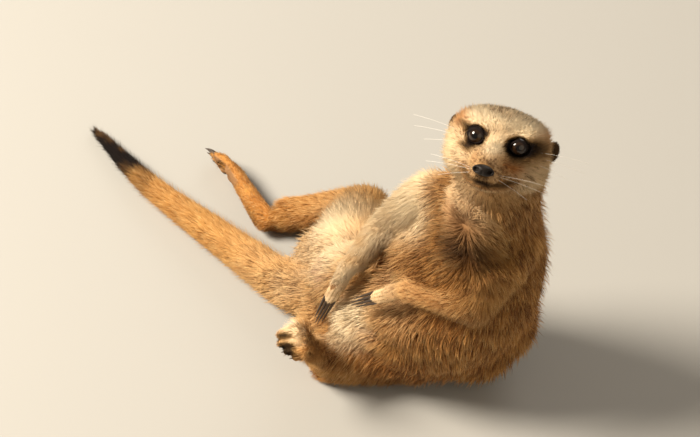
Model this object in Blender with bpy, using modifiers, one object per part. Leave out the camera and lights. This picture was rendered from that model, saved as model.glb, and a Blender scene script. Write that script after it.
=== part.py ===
"""A life-size meerkat that lounges on its rump: back curled, legs splayed, hands on the belly, face up.

The whole animal is modelled as one soft body, out to the tips of its coat, and parted with thin cuts into the
parts that a person would name. Paws, ears, eyes, nose and claws are solids of their own.

Frame: metres, Z up, the floor at Z = 0. The origin is on the floor under the loin, where the animal sits.
Headings are degrees round from +X towards +Y, and rises are degrees above the horizontal.
"""

import math

import bmesh
import bpy
import numpy as np
from mathutils import Matrix, Vector

MM = 0.001
GAP = 0.34 * MM  # clearance between neighbouring solids
TRUNK_VOXEL, TRUNK_TRIANGLES = 1.8 * MM, 1120
LIMB_VOXEL = 1.2 * MM
LEG_TRIANGLES, ARM_TRIANGLES = 400, 260
HEAD_VOXEL, HEAD_TRIANGLES = 1.0 * MM, 1160
PAW_VOXEL, PAW_TRIANGLES = 0.7 * MM, 320
EAR_VOXEL, EAR_TRIANGLES = 0.6 * MM, 90

# ---- The skeleton: each bone from a known point, in mm and degrees: (from, length, heading, rise)
PELVIS = Vector((-26, 16, 29)) * MM
BONES = {
    "loin": ("pelvis", 40, 325, 9),
    "midriff": ("loin", 35, 345, 44),
    "chest": ("midriff", 36, 358, 75),
    "shoulders": ("chest", 28, 348, 84),
    "neck": ("shoulders", 20, 339, 82),
    "nape": ("neck", 19, 55, 65),
    "tail_root": ("pelvis", 23, 152, -34),
    "tail_base": ("tail_root", 18, 160, -13),
    "tail_middle": ("tail_base", 59, 137, -3),
    "tail_thin": ("tail_middle", 55, 135, -3),
    "tail_tip": ("tail_thin", 52, 127, -3),
    "hip_right": ("pelvis", 17, 75, 6),
    "knee_right": ("hip_right", 56, 87, -18),
    "ankle_right": ("knee_right", 52, 182, -4),
    "hip_left": ("pelvis", 17, 255, 6),
    "knee_left": ("hip_left", 45, 336, -21),
    "ankle_left": ("knee_left", 50, 181, -3),
    "shoulder_right": ("shoulders", 35, 143, -7),
    "elbow_right": ("shoulder_right", 40, 161, -52),
    "wrist_right": ("elbow_right", 35, 219, -33),
    "shoulder_left": ("shoulders", 17, 322, -3),
    "elbow_left": ("shoulder_left", 41, 232, -37),
    "wrist_left": ("elbow_left", 43, 154, -12),
}

# ---- Which way the trunk faces along the spine: the chest is twisted towards the head's side
PELVIS_FACES = 165
CHEST_FACES = 235

# ---- The head: where the middle of the eye line is, and how it is held
EYE_LINE = Vector((43.5, -23, 192.5)) * MM
HEAD_HEADING, HEAD_RISE, HEAD_ROLL = 255, 39, -4.5
EYE_APART = 20.8 * MM
EYE_RADIUS = 5.4  # mm
EYE_SET_BACK = 4.8 * MM  # the eye's centre, behind the eye line

# ---- The coat's and skin's colours: base colour, roughness
FINISHES = {
    "grizzled_fur": ((0.46, 0.34, 0.20), 0.9),
    "golden_fur": ((0.60, 0.40, 0.19), 0.9),
    "tail_fur": ((0.42, 0.24, 0.10), 0.9),
    "face_fur": ((0.72, 0.62, 0.46), 0.9),
    "black_skin": ((0.02, 0.015, 0.012), 0.6),
    "eye": ((0.03, 0.015, 0.008), 0.1),
    "horn": ((0.10, 0.07, 0.05), 0.45),
}


def direction(heading, rise):
    """The unit vector that far round and up, in degrees."""
    turn, up = math.radians(heading), math.radians(rise)
    return Vector((math.cos(turn) * math.cos(up), math.sin(turn) * math.cos(up), math.sin(up)))


def frame_at(origin, forward, upward):
    """A matrix with +Y forward, +Z as near to upward as can be, and +X to the right."""
    y_axis = forward.normalized()
    x_axis = y_axis.cross(upward).normalized()
    z_axis = x_axis.cross(y_axis)
    turn = Matrix((x_axis, y_axis, z_axis)).transposed().to_4x4()
    return Matrix.Translation(origin) @ turn


def skeleton():
    """The named points of the skeleton, in metres."""
    points = {"pelvis": PELVIS}
    for name, (start, length, heading, rise) in BONES.items():
        points[name] = points[start] + direction(heading, rise) * length * MM
    return points


def head_frame():
    """The head's own frame: +Y to the nose, +Z up through the crown, +X to the animal's right."""
    forward = direction(HEAD_HEADING, HEAD_RISE)
    tilt = Matrix.Rotation(math.radians(HEAD_ROLL), 3, forward)
    return frame_at(EYE_LINE, forward, tilt @ Vector((0, 0, 1)))


# ---------------------------------------------------------------- soft shapes


def catmull_rom(values, between):
    """Values at stations made smooth, with that many steps from each station to the next."""
    padded = np.concatenate([[2 * values[0] - values[1]], values, [2 * values[-1] - values[-2]]])
    steps = np.arange(between)[:, None] / between
    rows = []
    for i in range(1, len(padded) - 2):
        p0, p1, p2, p3 = padded[i - 1 : i + 3]
        slope, bend, twist = p2 - p0, 2 * p0 - 5 * p1 + 4 * p2 - p3, 3 * p1 - p0 - 3 * p2 + p3
        rows.append(0.5 * (2 * p1 + slope * steps + bend * steps**2 + twist * steps**3))
    return np.concatenate([*rows, [padded[-2]]])


def loft(stations, sides=20, between=4, domes=3):
    """(points, faces) of a closed tube with domed ends, through stations of (centre, side direction, half
    width along it, half depth across it), with metres for the centre and mm for the halves."""
    rows = np.array([[*centre, *side, wide * MM, deep * MM] for centre, side, wide, deep in stations])
    rows = catmull_rom(rows, between)
    centres, sideways, halves = rows[:, :3], rows[:, 3:6], np.maximum(rows[:, 6:], 0.2 * MM)
    along = np.gradient(centres, axis=0)
    along /= np.linalg.norm(along, axis=1, keepdims=True)
    turned = np.radians(np.linspace(0, 90, domes + 2)[1:])[:, None]

    def dome(end, sign):
        """Rings that shrink to a point past one end: their centres, sides, halves and headings."""
        reach = halves[end].min()
        rings = centres[end] + sign * along[end] * reach * np.sin(turned)
        same = np.ones_like(turned)
        return rings, sideways[end] * same, halves[end] * np.cos(turned), along[end] * same

    first, last = dome(0, -1), dome(-1, 1)
    tube = (centres, sideways, halves, along)
    centres, sideways, halves, along = (
        np.concatenate([before[::-1], middle, after]) for before, middle, after in zip(first, tube, last)
    )
    across = sideways - (sideways * along).sum(1, keepdims=True) * along
    across /= np.linalg.norm(across, axis=1, keepdims=True)
    outward = np.cross(across, along)
    turn = np.linspace(0, 2 * math.pi, sides, endpoint=False)[None, :, None]
    points = centres[:, None] + across[:, None] * halves[:, None, :1] * np.cos(turn)
    points = (points + outward[:, None] * halves[:, None, 1:] * np.sin(turn)).reshape(-1, 3)
    faces = []
    for ring in range(len(centres) - 1):
        for k in range(sides):
            a, b = ring * sides + k, ring * sides + (k + 1) % sides
            faces.append((a, a + sides, b + sides, b))
    return points, faces


def ball(centre, radii, turn=None, rings=(24, 16)):
    """(points, faces) of an ellipsoid with those radii in mm along its own axes."""
    bm = bmesh.new()
    bmesh.ops.create_uvsphere(bm, u_segments=rings[0], v_segments=rings[1], radius=1)
    stretch = Matrix.Diagonal((*(Vector(radii) * MM), 1))
    bm.transform(Matrix.Translation(centre) @ (turn or Matrix()) @ stretch)
    points = np.array([v.co[:] for v in bm.verts])
    faces = [tuple(v.index for v in f.verts) for f in bm.faces]
    bm.free()
    return points, faces


# ---------------------------------------------------------------- objects and cuts


def mesh_object(name, shapes, collection):
    """One object of all those (points, faces), which may overlap."""
    points, faces, start = [], [], 0
    for shape_points, shape_faces in shapes:
        points.append(shape_points)
        faces += [tuple(i + start for i in face) for face in shape_faces]
        start += len(shape_points)
    mesh = bpy.data.meshes.new(name)
    mesh.from_pydata(np.concatenate(points).tolist(), [], faces)
    bm = bmesh.new()
    bm.from_mesh(mesh)
    bmesh.ops.remove_doubles(bm, verts=bm.verts, dist=1e-6)
    bmesh.ops.recalc_face_normals(bm, faces=bm.faces)
    bm.to_mesh(mesh)
    bm.free()
    return link_object(name, mesh, collection)


def link_object(name, mesh, collection):
    made = bpy.data.objects.new(name, mesh)
    collection.objects.link(made)
    return made


def material(name):
    """The named finish as a material, made once."""
    made = bpy.data.materials.get(name)
    if made is None:
        colour, roughness = FINISHES[name]
        made = bpy.data.materials.new(name)
        made.use_nodes = True
        shader = made.node_tree.nodes["Principled BSDF"]
        shader.inputs["Base Color"].default_value = (*colour, 1)
        shader.inputs["Roughness"].default_value = roughness
    return made


def add_modifier(target, kind, **settings):
    modifier = target.modifiers.new(kind.title(), kind)
    for key, value in settings.items():
        setattr(modifier, key, value)


def apply_modifiers(target):
    """Replaces the object's mesh by its evaluated one."""
    graph = bpy.context.evaluated_depsgraph_get()
    graph.update()
    mesh = bpy.data.meshes.new_from_object(target.evaluated_get(graph))
    target.modifiers.clear()
    target.data = mesh


def fuse(target, voxel, smoothing, triangles, trims=()):
    """Joins what overlaps in the object into one soft skin, without what the trims take away, of about that
    many triangles."""
    add_modifier(target, "REMESH", mode="VOXEL", voxel_size=voxel)
    add_modifier(target, "SMOOTH", factor=0.5, iterations=smoothing)
    apply_modifiers(target)
    for trim in trims:
        cut(target, trim)
    add_modifier(target, "TRIANGULATE")
    apply_modifiers(target)
    add_modifier(target, "DECIMATE", ratio=min(1.0, triangles / len(target.data.polygons)))
    apply_modifiers(target)


def cut(target, cutter, solver="EXACT"):
    """Takes the cutter out of the object."""
    add_modifier(target, "BOOLEAN", operation="DIFFERENCE", solver=solver, object=cutter)
    apply_modifiers(target)


def block(name, frame, low, high, helpers):
    """A hidden cutting block between two corners, in mm along the axes of its frame."""
    bm = bmesh.new()
    bmesh.ops.create_cube(bm, size=1)
    size, middle = (Vector(high) - Vector(low)) * MM, (Vector(high) + Vector(low)) / 2 * MM
    bm.transform(frame @ Matrix.Translation(middle) @ Matrix.Diagonal((*size, 1)))
    mesh = bpy.data.meshes.new(name)
    bm.to_mesh(mesh)
    bm.free()
    return hidden(link_object(name, mesh, helpers))


def hidden(helper):
    helper.hide_render = True
    helper.display_type = "WIRE"
    return helper


def swollen(source, by, helpers):
    """A hidden copy of the object, bigger by that much all over."""
    copy = bpy.data.objects.new(source.name + "_room", source.data.copy())
    helpers.objects.link(copy)
    add_modifier(copy, "DISPLACE", strength=by, mid_level=0)
    apply_modifiers(copy)
    return hidden(copy)


def slit(name, frame, reach, helpers):
    """A thin cutting block across the frame's Y axis, reaching so far in mm to -X, +X, -Z and +Z."""
    left, right, down, up = reach
    half = GAP / 2 / MM
    return block(name, frame, (-left, -half, -down), (right, half, up), helpers)


# ---------------------------------------------------------------- the animal's flesh


def trunk_shapes(at):
    """The trunk from the tail's root to the nape, turning from the pelvis's facing to the chest's."""
    stations = [  # name, share of the twist, half width, half depth
        ("tail_root", 0.0, 16, 14),
        ("pelvis", 0.0, 26, 27),
        ("loin", 0.25, 32, 40),
        ("midriff", 0.6, 37, 37),
        ("chest", 0.9, 34, 34),
        ("shoulders", 1.0, 28, 28),
        ("neck", 1.1, 23, 25),
        ("nape", 1.3, 22, 21),
    ]
    rows = []
    for name, twist, wide, deep in stations:
        faces = PELVIS_FACES + twist * (CHEST_FACES - PELVIS_FACES)
        rows.append((at[name], direction(faces + 90, 0), wide, deep))
    return [loft(rows, sides=28)]


def flank_shapes():
    """What fills the trunk out beside the legs."""
    return [
        ball(Vector((-43, 4, 15)) * MM, (14, 12.5, 14)),  # the left buttock, down to the folded leg
        ball(Vector((2, 25, 45)) * MM, (17, 14, 15)),  # the fold of skin from the right flank to the thigh
        ball(Vector((47, -8, 36)) * MM, (26, 26, 26)),  # the belly's weight, settled low round the rump
    ]


def tail_shapes(at):
    """The tail, thick with fur at its root and thin at its tip, lying on the floor."""
    level = direction(PELVIS_FACES + 90, 0)
    stations = [("pelvis", 15, 14), ("tail_root", 15, 14), ("tail_base", 13.5, 13), ("tail_middle", 9.8, 9.4),
                ("tail_thin", 6.8, 6.6), ("tail_tip", 3.4, 3.4)]
    return [loft([(at[name], level, wide, deep) for name, wide, deep in stations])]


def limb(at, start, end, halves, shift=(0, 0, 0)):
    """A limb from one named point to another: halves are (share of the way, half height, half breadth) in mm.
    The shift in mm moves it sideways."""
    up = Vector((0, 0, 1))
    off = Vector(shift) * MM
    rows = [(at[start].lerp(at[end], share) + off, up, tall, broad) for share, tall, broad in halves]
    return loft(rows, sides=18)


def leg_shapes(at, side):
    """Thigh and shank: a broad ham, then a taper to the hock. The left leg is the more folded."""
    hip, knee, ankle = ("hip_" + side, "knee_" + side, "ankle_" + side)
    if side == "right":
        thigh, thigh_shift = [(0.3, 19, 24), (0.6, 17, 22), (0.95, 14, 16)], (-5, 0, 0)
        shank, shank_shift = [(0, 14, 14), (0.3, 12.5, 13), (0.65, 11, 10.5), (1.2, 11, 9.5)], (0, 0, 0)
    else:
        thigh, thigh_shift = [(0.2, 18, 17), (0.5, 18, 16), (0.75, 16, 14.5), (1, 13.5, 13)], (0, -7, 4)
        shank, shank_shift = [(0, 14, 13.5), (0.3, 14, 14), (0.65, 13, 13), (1.2, 13, 11.5)], (0, -2, 0)
    shapes = [limb(at, hip, knee, thigh, thigh_shift), limb(at, knee, ankle, shank, shank_shift)]
    if side == "right":  # the loose skin that webs the splayed thigh to the tail's root
        shapes.append(ball(at["tail_root"].lerp(at[knee], 0.42) + Vector((-13, 0, -1)) * MM, (12, 18, 13)))
    return shapes


def arm_shapes(at, side):
    """Upper arm and forearm, thin at the wrist."""
    upper = [(0, 14, 14), (0.3, 14, 14), (0.7, 11.5, 11.5), (1, 9, 9.5)]
    fore = [(0, 9, 9.5), (0.35, 8.2, 8.4), (0.75, 6.6, 6.6), (1.2, 5.8, 5.8)]
    shoulder, elbow, wrist = ("shoulder_" + side, "elbow_" + side, "wrist_" + side)
    return [limb(at, shoulder, elbow, upper), limb(at, elbow, wrist, fore)]


def shoulder_shapes(at):
    """The muscle that runs from the neck over the right shoulder, which the twist of the chest pulls wide."""
    return [limb(at, "neck", "shoulder_right", [(0, 18, 16), (0.5, 15, 15), (0.95, 12, 13)])]


def head_shapes(head):
    """Skull, brow, cheeks, jaw and muzzle, in the head's frame in mm: x to the side, y to the nose, z up."""

    def place(x, y, z):
        return head @ (Vector((x, y, z)) * MM)

    turn = head.to_3x3().to_4x4()
    across = head.to_3x3() @ Vector((1, 0, 0))
    shapes = [
        ball(place(0, -18, -3), (26.4, 22, 18), turn),  # the broad, low skull
        ball(place(0, -6.5, 2), (12, 8.5, 11), turn),  # the forehead between the eyes
    ]
    for side in (-1, 1):
        shapes.append(ball(place(side * 13, -17, -11.5), (12, 16, 12.5), turn))  # the cheek's ruff
        shapes.append(ball(place(side * 13.5, -10, 5.5), (9, 8.5, 6.5), turn))  # the brow
        shapes.append(ball(place(side * 9.5, -4, -10.5), (8, 9.5, 8), turn))  # below the eye
    muzzle = [  # y, z, half width, half height
        (-10, -7, 18, 15),
        (-2, -8.4, 12.6, 11.4),
        (6, -9.4, 9.8, 9.8),
        (13, -10.4, 7.9, 8.2),
        (19, -11.2, 6.4, 6.6),
        (23, -11.4, 5.2, 5.2),
    ]
    jaw = [
        (-18, -17, 16, 10),
        (-4, -17.8, 12, 8),
        (6, -18.6, 8.8, 5.8),
        (13, -18.8, 6.3, 4.2),
        (17.5, -18.4, 4.4, 3),
    ]
    for row in (muzzle, jaw):
        shapes.append(loft([(place(0, y, z), across, wide, tall) for y, z, wide, tall in row]))
    return shapes


def add_head(at, head, animal, helpers):
    """The head with its eye sockets, cut level with the neck, and its eyes, nose and ears."""
    made = mesh_object("head", head_shapes(head) + trunk_shapes(at), animal)
    neck = neck_cut(at, head)
    spare = block("neck_stub", neck, (-70, -160, -70), (70, -3, 70), helpers)
    fuse(made, HEAD_VOXEL, 10, HEAD_TRIANGLES, [spare])
    turn = head.to_3x3().to_4x4()
    nose_pad = ball(head @ (Vector((0, 25, -9.8)) * MM), (4.8, 3.6, 3.4), turn, (14, 8))
    nose = mesh_object("nose", [nose_pad], animal)
    for side, name in ((1, "right"), (-1, "left")):
        centre = head @ Vector((side * EYE_APART / 2, -EYE_SET_BACK, 0))
        forward = head.to_3x3() @ Vector((side * 0.15, 1, 0))
        frame = frame_at(centre, forward, head.to_3x3() @ Vector((0, 0, 1)))
        hollow = ball(frame @ (Vector((0, 4.8, 0.2)) * MM), (5.6, 3.8, 5), frame.to_3x3().to_4x4(), (16, 10))
        orbit = mesh_object("orbit_" + name, [hollow], helpers)
        cut(made, hidden(orbit), "MANIFOLD")  # EXACT leaves inner faces where the hollow meets the eye's room
        eyeball = ball(centre, (EYE_RADIUS,) * 3, frame.to_3x3().to_4x4(), (14, 8))
        eye = mesh_object("eye_" + name, [eyeball], animal)
        cut(made, swollen(eye, GAP, helpers), "MANIFOLD")
        finish_object(eye, "eye")
        ear = mesh_object("ear_" + name, ear_shapes(head, side), animal)
        cut(ear, hidden(mesh_object("concha_" + name, concha_shapes(head, side), helpers)))
        fuse(ear, EAR_VOXEL, 2, EAR_TRIANGLES)
        cut(ear, swollen(made, GAP, helpers))
        keep_largest(ear)
        finish_object(ear, "black_skin")
    cut(nose, swollen(made, GAP, helpers))
    keep_largest(nose)
    finish_object(nose, "black_skin")
    cut(made, block("below_head", neck, (-70, -160, -70), (70, GAP / 2 / MM, 70), helpers))
    keep_largest(made)
    finish_object(made, "face_fur")


def neck_cut(at, head):
    """The frame of the cut between neck and head: +Y goes up into the head, through the nape."""
    skull = head @ (Vector((0, -18, -6)) * MM)
    return frame_at(at["nape"].lerp(skull, 0.15), direction(250, 66), direction(80, 24))


def ear_shapes(head, side):
    """A small rounded ear, low on the side of the head, in one lump that the concha hollows."""
    turn = head.to_3x3().to_4x4() @ Matrix.Rotation(math.radians(side * 28), 4, "Z")
    return [ball(head @ (Vector((side * 24.6, -27, -3.4)) * MM), (3.2, 4.8, 5.8), turn)]


def concha_shapes(head, side):
    turn = head.to_3x3().to_4x4() @ Matrix.Rotation(math.radians(side * 28), 4, "Z")
    return [ball(head @ (Vector((side * 27.7, -24.4, -3.7)) * MM), (2.8, 3.5, 4.1), turn)]


def keep_largest(target):
    """Drops the crumbs that a cut leaves, and keeps the largest body."""
    for small in sorted(islands(target.data), key=len)[:-1]:
        drop_vertices(target.data, small)


def finish_object(target, finish):
    target.data.materials.clear()
    target.data.materials.append(material(finish))
    for face in target.data.polygons:
        face.material_index = 0
    target.data.shade_smooth()


def islands(mesh):
    """The mesh's separate bodies, each as a set of vertex numbers."""
    joined = list(range(len(mesh.vertices)))

    def root(i):
        while joined[i] != i:
            joined[i] = joined[joined[i]]
            i = joined[i]
        return i

    for edge in mesh.edges:
        a, b = (root(i) for i in edge.vertices)
        joined[a] = b
    found = {}
    for i in range(len(joined)):
        found.setdefault(root(i), set()).add(i)
    return list(found.values())


def drop_vertices(mesh, numbers):
    bm = bmesh.new()
    bm.from_mesh(mesh)
    bm.verts.ensure_lookup_table()
    bmesh.ops.delete(bm, geom=[bm.verts[i] for i in numbers], context="VERTS")
    bm.to_mesh(mesh)
    bm.free()


# ---------------------------------------------------------------- paws


HAND = {
    "finish": "golden_fur",
    "palm": [(-9, 5, 5.2), (0, 4.9, 4.7), (5, 5, 4.2), (9, 5, 3.6), (12, 4.5, 3)],
    "digits": [  # side, knuckle, length, splay, radius, curl
        (-3.5, 9, 9, -3, 1.85, 12),
        (-1.2, 11, 10, -1, 1.9, 10),
        (1.2, 11, 10, 1, 1.9, 10),
        (3.5, 9, 9, 3, 1.85, 12),
    ],
    "claw": (14, 1.05, 2.6),  # length, half thickness, hook
}
FOOT = {
    "finish": "golden_fur",
    "palm": [(-8, 7.4, 7.4), (0, 7, 6.6), (12, 5.6, 4.9), (26, 5.6, 4.4), (38, 6.8, 4.5), (44, 6.4, 4)],
    "digits": [
        (-4.8, 41, 13, -3, 2.4, 16),
        (-1.65, 43, 15, -1, 2.5, 16),
        (1.65, 43, 15, 1, 2.5, 16),
        (4.8, 41, 13, 3, 2.4, 16),
    ],
    "claw": (7, 1.1, 2),
}
CURLED_FOOT = {  # the toes bent over towards the sole
    "finish": "golden_fur",
    "palm": [(-8, 7.8, 7.8), (0, 7.4, 7), (12, 6.2, 5.4), (26, 6.4, 4.8), (38, 7, 4.8), (43, 6.6, 4.4)],
    "digits": [
        (-4.8, 41, 7, -4, 2.6, 42),
        (-1.65, 42.5, 8, -1, 2.7, 42),
        (1.65, 42.5, 8, 1, 2.7, 42),
        (4.8, 41, 7, 4, 2.6, 42),
    ],
    "claw": (3.6, 1.1, 5),
}


LEG = {
    "joints": ("hip", "knee", "ankle"),
    "parts": ("thigh", "shank"),
    "triangles": LEG_TRIANGLES,
    "slit": (26, 26, 26, 60),  # how far it reaches, in mm
}
ARM = {
    "joints": ("shoulder", "elbow", "wrist"),
    "parts": ("upper_arm", "forearm"),
    "triangles": ARM_TRIANGLES,
    "slit": (16, 16, 16, 18),
}


def paws(at):
    """Each paw's name, its kind, and its frame: +Y to the fingertips, +Z out of its back."""
    to_the_front = Vector((0, -0.64, 0.77))
    hock_right = at["ankle_right"] + Vector((-4, -3, -0.5)) * MM
    hock_left = at["ankle_left"] + Vector((3, 0, 0)) * MM
    return [
        ("hand_right", HAND, frame_at(at["wrist_right"], direction(222, -52), to_the_front)),
        ("hand_left", HAND, frame_at(at["wrist_left"], direction(160, -32), to_the_front)),
        ("foot_right", FOOT, frame_at(hock_right, direction(117, -2), direction(20, 12))),
        ("foot_left", CURLED_FOOT, frame_at(hock_left, direction(230, 58), direction(12, 0))),
    ]


def paw_shapes(frame, kind):
    """The shapes of a paw in its frame, and those of its claws."""
    right = frame.to_3x3() @ Vector((1, 0, 0))
    palm = [(frame @ (Vector((0, y, 0)) * MM), right, wide, deep) for y, wide, deep in kind["palm"]]
    shapes, claws = [loft(palm, sides=16)], []
    long, thick, hook = kind["claw"]
    for x, y, length, splay, radius, curl in kind["digits"]:
        spread = Matrix.Rotation(-math.radians(splay), 4, "Z")
        place = frame @ Matrix.Translation(Vector((x, y, 0)) * MM) @ spread
        side = place.to_3x3() @ Vector((1, 0, 0))
        drop = length * math.tan(math.radians(curl))

        def rows(table):
            return [
                (place @ (Vector((0, reach, -down)) * MM), side, wide, deep)
                for reach, down, wide, deep in table
            ]

        shapes.append(loft(rows([
            (-3, 0, radius, radius),
            (length * 0.45, drop * 0.15, radius * 1.05, radius * 1.05),
            (length * 0.8, drop * 0.55, radius, radius),
            (length, drop, radius * 0.8, radius * 0.8),
        ]), sides=12, between=3))
        claws.append(loft(rows([
            (length - 1, drop - 0.6, thick, thick * 1.25),
            (length + long * 0.35, drop + hook * 0.1, thick * 0.85, thick * 1.1),
            (length + long * 0.7, drop + hook * 0.45, thick * 0.6, thick * 0.8),
            (length + long, drop + hook, 0.3, 0.3),
        ]), sides=5, between=1, domes=1))
    return shapes, claws


def add_paw(name, kind, frame, limb_cut, floor, animal, helpers):
    """A paw of one palm and four toes, cut level with its limb, and its four claws."""
    shapes, claws = paw_shapes(frame, kind)
    made = mesh_object(name, shapes, animal)
    fuse(made, PAW_VOXEL, 3, PAW_TRIANGLES)
    cut(made, block(name + "_end", limb_cut, (-20, -40, -20), (20, GAP / 2 / MM, 20), helpers))
    cut(made, floor)
    keep_largest(made)
    finish_object(made, kind["finish"])
    room = swollen(made, GAP, helpers)
    for number, shape in enumerate(claws, 1):
        claw = mesh_object(f"claw_{name}_{number}", [shape], animal)
        cut(claw, room)
        cut(claw, floor)
        keep_largest(claw)
        finish_object(claw, "horn")


# ---------------------------------------------------------------- the whole


def limb_cuts(at):
    """The frame of the cut between each limb and its paw, with +Y going out to the paw."""
    cuts = {}
    for name, kind, frame in paws(at):
        limb_name, side = name.split("_")
        start, end = ("elbow_", "wrist_") if limb_name == "hand" else ("knee_", "ankle_")
        reach = (at[end + side] - at[start + side]).normalized()
        paw_way = frame.to_3x3() @ Vector((0, 1, 0))
        cuts[name] = frame_at(at[end + side], reach + paw_way, frame.to_3x3() @ Vector((0, 0, 1)))
    return cuts


def joint_frame(at, start, middle, end):
    """The frame of the cut through a bent joint: its plane halves the bend, and +Z runs into the bend."""
    back, on = (at[start] - at[middle]).normalized(), (at[end] - at[middle]).normalized()
    return frame_at(at[middle], on - back, on + back)


def spine_frame(at, start, end, share):
    """The frame of a cut across the spine between two of its points, with +Z as near to up as can be."""
    return frame_at(at[start].lerp(at[end], share), at[end] - at[start], Vector((0, 0.1, 1)))


def trunk_slits(at, helpers):
    """The thin cuts that part neck, trunk and tail into named lengths."""
    places = {  # from, to, share of the way, reach
        "neck_cut": ("shoulders", "neck", 0.6, 45),
        "waist_cut": ("loin", "chest", 0.5, 60),
        "rump_cut": ("pelvis", "loin", 0.45, 60),
        "tail_base_cut": ("tail_root", "tail_base", 0.3, 44),
        "tail_middle_cut": ("tail_base", "tail_middle", 0.8, 16),
        "tail_tip_cut": ("tail_middle", "tail_thin", 1.0, 12),
    }
    return [
        slit(name, spine_frame(at, start, end, share), (reach,) * 4, helpers)
        for name, (start, end, share, reach) in places.items()
    ]


def trunk_seeds(at):
    """Where the middle of each part of the trunk and tail is, and its finish."""
    return {
        "neck": (at["neck"].lerp(at["nape"], 0.3), "golden_fur"),
        "chest": (at["chest"], "grizzled_fur"),
        "abdomen": (at["loin"].lerp(at["midriff"], 0.4), "grizzled_fur"),
        "pelvis": (at["pelvis"], "golden_fur"),
        "tail_base": (at["tail_base"].lerp(at["tail_middle"], 0.3), "golden_fur"),
        "tail_middle": (at["tail_middle"].lerp(at["tail_thin"], 0.4), "tail_fur"),
        "tail_tip": (at["tail_thin"].lerp(at["tail_tip"], 0.4), "tail_fur"),
    }


def add_limb(side, limb_kind, shapes, at, paw_cut, floor, animal, helpers):
    """A leg or an arm, cut level with its paw and the floor, then parted by a slit. Returns its room."""
    upper, middle, lower = (f"{point}_{side}" for point in limb_kind["joints"])
    upper_part, lower_part = (f"{part}_{side}" for part in limb_kind["parts"])
    made = mesh_object("limb_" + lower_part, shapes, animal)
    fuse(made, LIMB_VOXEL, 8, limb_kind["triangles"])
    cut(made, block(lower_part + "_end", paw_cut, (-18, -GAP / 2 / MM, -18), (18, 30, 18), helpers))
    cut(made, floor)
    keep_largest(made)
    room = swollen(made, GAP, helpers)
    cut(made, slit(lower_part + "_cut", joint_frame(at, upper, middle, lower), limb_kind["slit"], helpers))
    seeds = {
        upper_part: (at[upper].lerp(at[middle], 0.5), "golden_fur"),
        lower_part: (at[middle].lerp(at[lower], 0.5), "golden_fur"),
    }
    part_body(made, seeds, animal)
    return room


def part_body(body, seeds, animal):
    """Makes an object of each separate body that the slits left, named for the seed nearest its middle."""
    for piece in (found for found in islands(body.data) if len(found) > 20):  # the rest are crumbs
        middle = sum((body.data.vertices[i].co for i in piece), Vector()) / len(piece)
        near = min(seeds, key=lambda name: (seeds[name][0] - middle).length)
        made = link_object(near, body.data.copy(), animal)
        drop_vertices(made.data, set(range(len(body.data.vertices))) - piece)
        finish_object(made, seeds[near][1])
    bpy.data.objects.remove(body, do_unlink=True)


def main():
    for leftover in list(bpy.data.objects):
        bpy.data.objects.remove(leftover, do_unlink=True)
    animal = bpy.data.collections.new("meerkat")
    helpers = bpy.data.collections.new("cutters")
    for collection in (animal, helpers):
        bpy.context.scene.collection.children.link(collection)
    at = skeleton()
    head = head_frame()
    floor = block("floor", Matrix(), (-300, -300, -60), (300, 300, 0), helpers)
    add_head(at, head, animal, helpers)
    cuts = limb_cuts(at)
    for name, kind, frame in paws(at):
        add_paw(name, kind, frame, cuts[name], floor, animal, helpers)
    rooms = []
    for side in ("left", "right"):
        tools = (floor, animal, helpers)
        rooms.append(add_limb(side, LEG, leg_shapes(at, side), at, cuts["foot_" + side], *tools))
        rooms.append(add_limb(side, ARM, arm_shapes(at, side), at, cuts["hand_" + side], *tools))
    shapes = trunk_shapes(at) + flank_shapes() + tail_shapes(at) + shoulder_shapes(at)
    trunk = mesh_object("trunk", shapes, animal)
    above = block("above_neck", neck_cut(at, head), (-70, -GAP / 2 / MM, -70), (70, 120, 70), helpers)
    fuse(trunk, TRUNK_VOXEL, 6, TRUNK_TRIANGLES)
    cut(trunk, above)
    cut(trunk, floor)
    for room in rooms:
        cut(trunk, room, "MANIFOLD")  # EXACT leaves nothing, as the room crosses itself in its creases
    for slot in trunk_slits(at, helpers):
        cut(trunk, slot)
    part_body(trunk, trunk_seeds(at), animal)


main()
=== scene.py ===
import math

import bmesh
import bpy
import numpy as np
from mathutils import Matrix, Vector
from mathutils.kdtree import KDTree


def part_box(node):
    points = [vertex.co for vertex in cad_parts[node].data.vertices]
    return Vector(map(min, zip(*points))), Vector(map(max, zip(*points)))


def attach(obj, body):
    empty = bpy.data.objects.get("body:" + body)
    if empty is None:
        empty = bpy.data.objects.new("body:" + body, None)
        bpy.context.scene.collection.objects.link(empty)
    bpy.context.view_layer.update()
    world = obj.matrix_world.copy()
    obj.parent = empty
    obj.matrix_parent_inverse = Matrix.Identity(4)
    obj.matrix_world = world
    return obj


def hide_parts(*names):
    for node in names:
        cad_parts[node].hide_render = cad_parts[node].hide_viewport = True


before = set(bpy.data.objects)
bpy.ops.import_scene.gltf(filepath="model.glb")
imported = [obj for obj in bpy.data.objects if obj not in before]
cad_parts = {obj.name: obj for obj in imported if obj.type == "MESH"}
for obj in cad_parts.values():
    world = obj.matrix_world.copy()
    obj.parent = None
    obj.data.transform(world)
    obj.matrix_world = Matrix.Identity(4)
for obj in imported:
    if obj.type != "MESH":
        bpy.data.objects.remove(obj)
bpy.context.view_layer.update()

mm = 0.001
dice = np.random.default_rng(41)  # one seeded source for every random choice
print("frame loaded")

# the joints of the body, in mm

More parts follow.
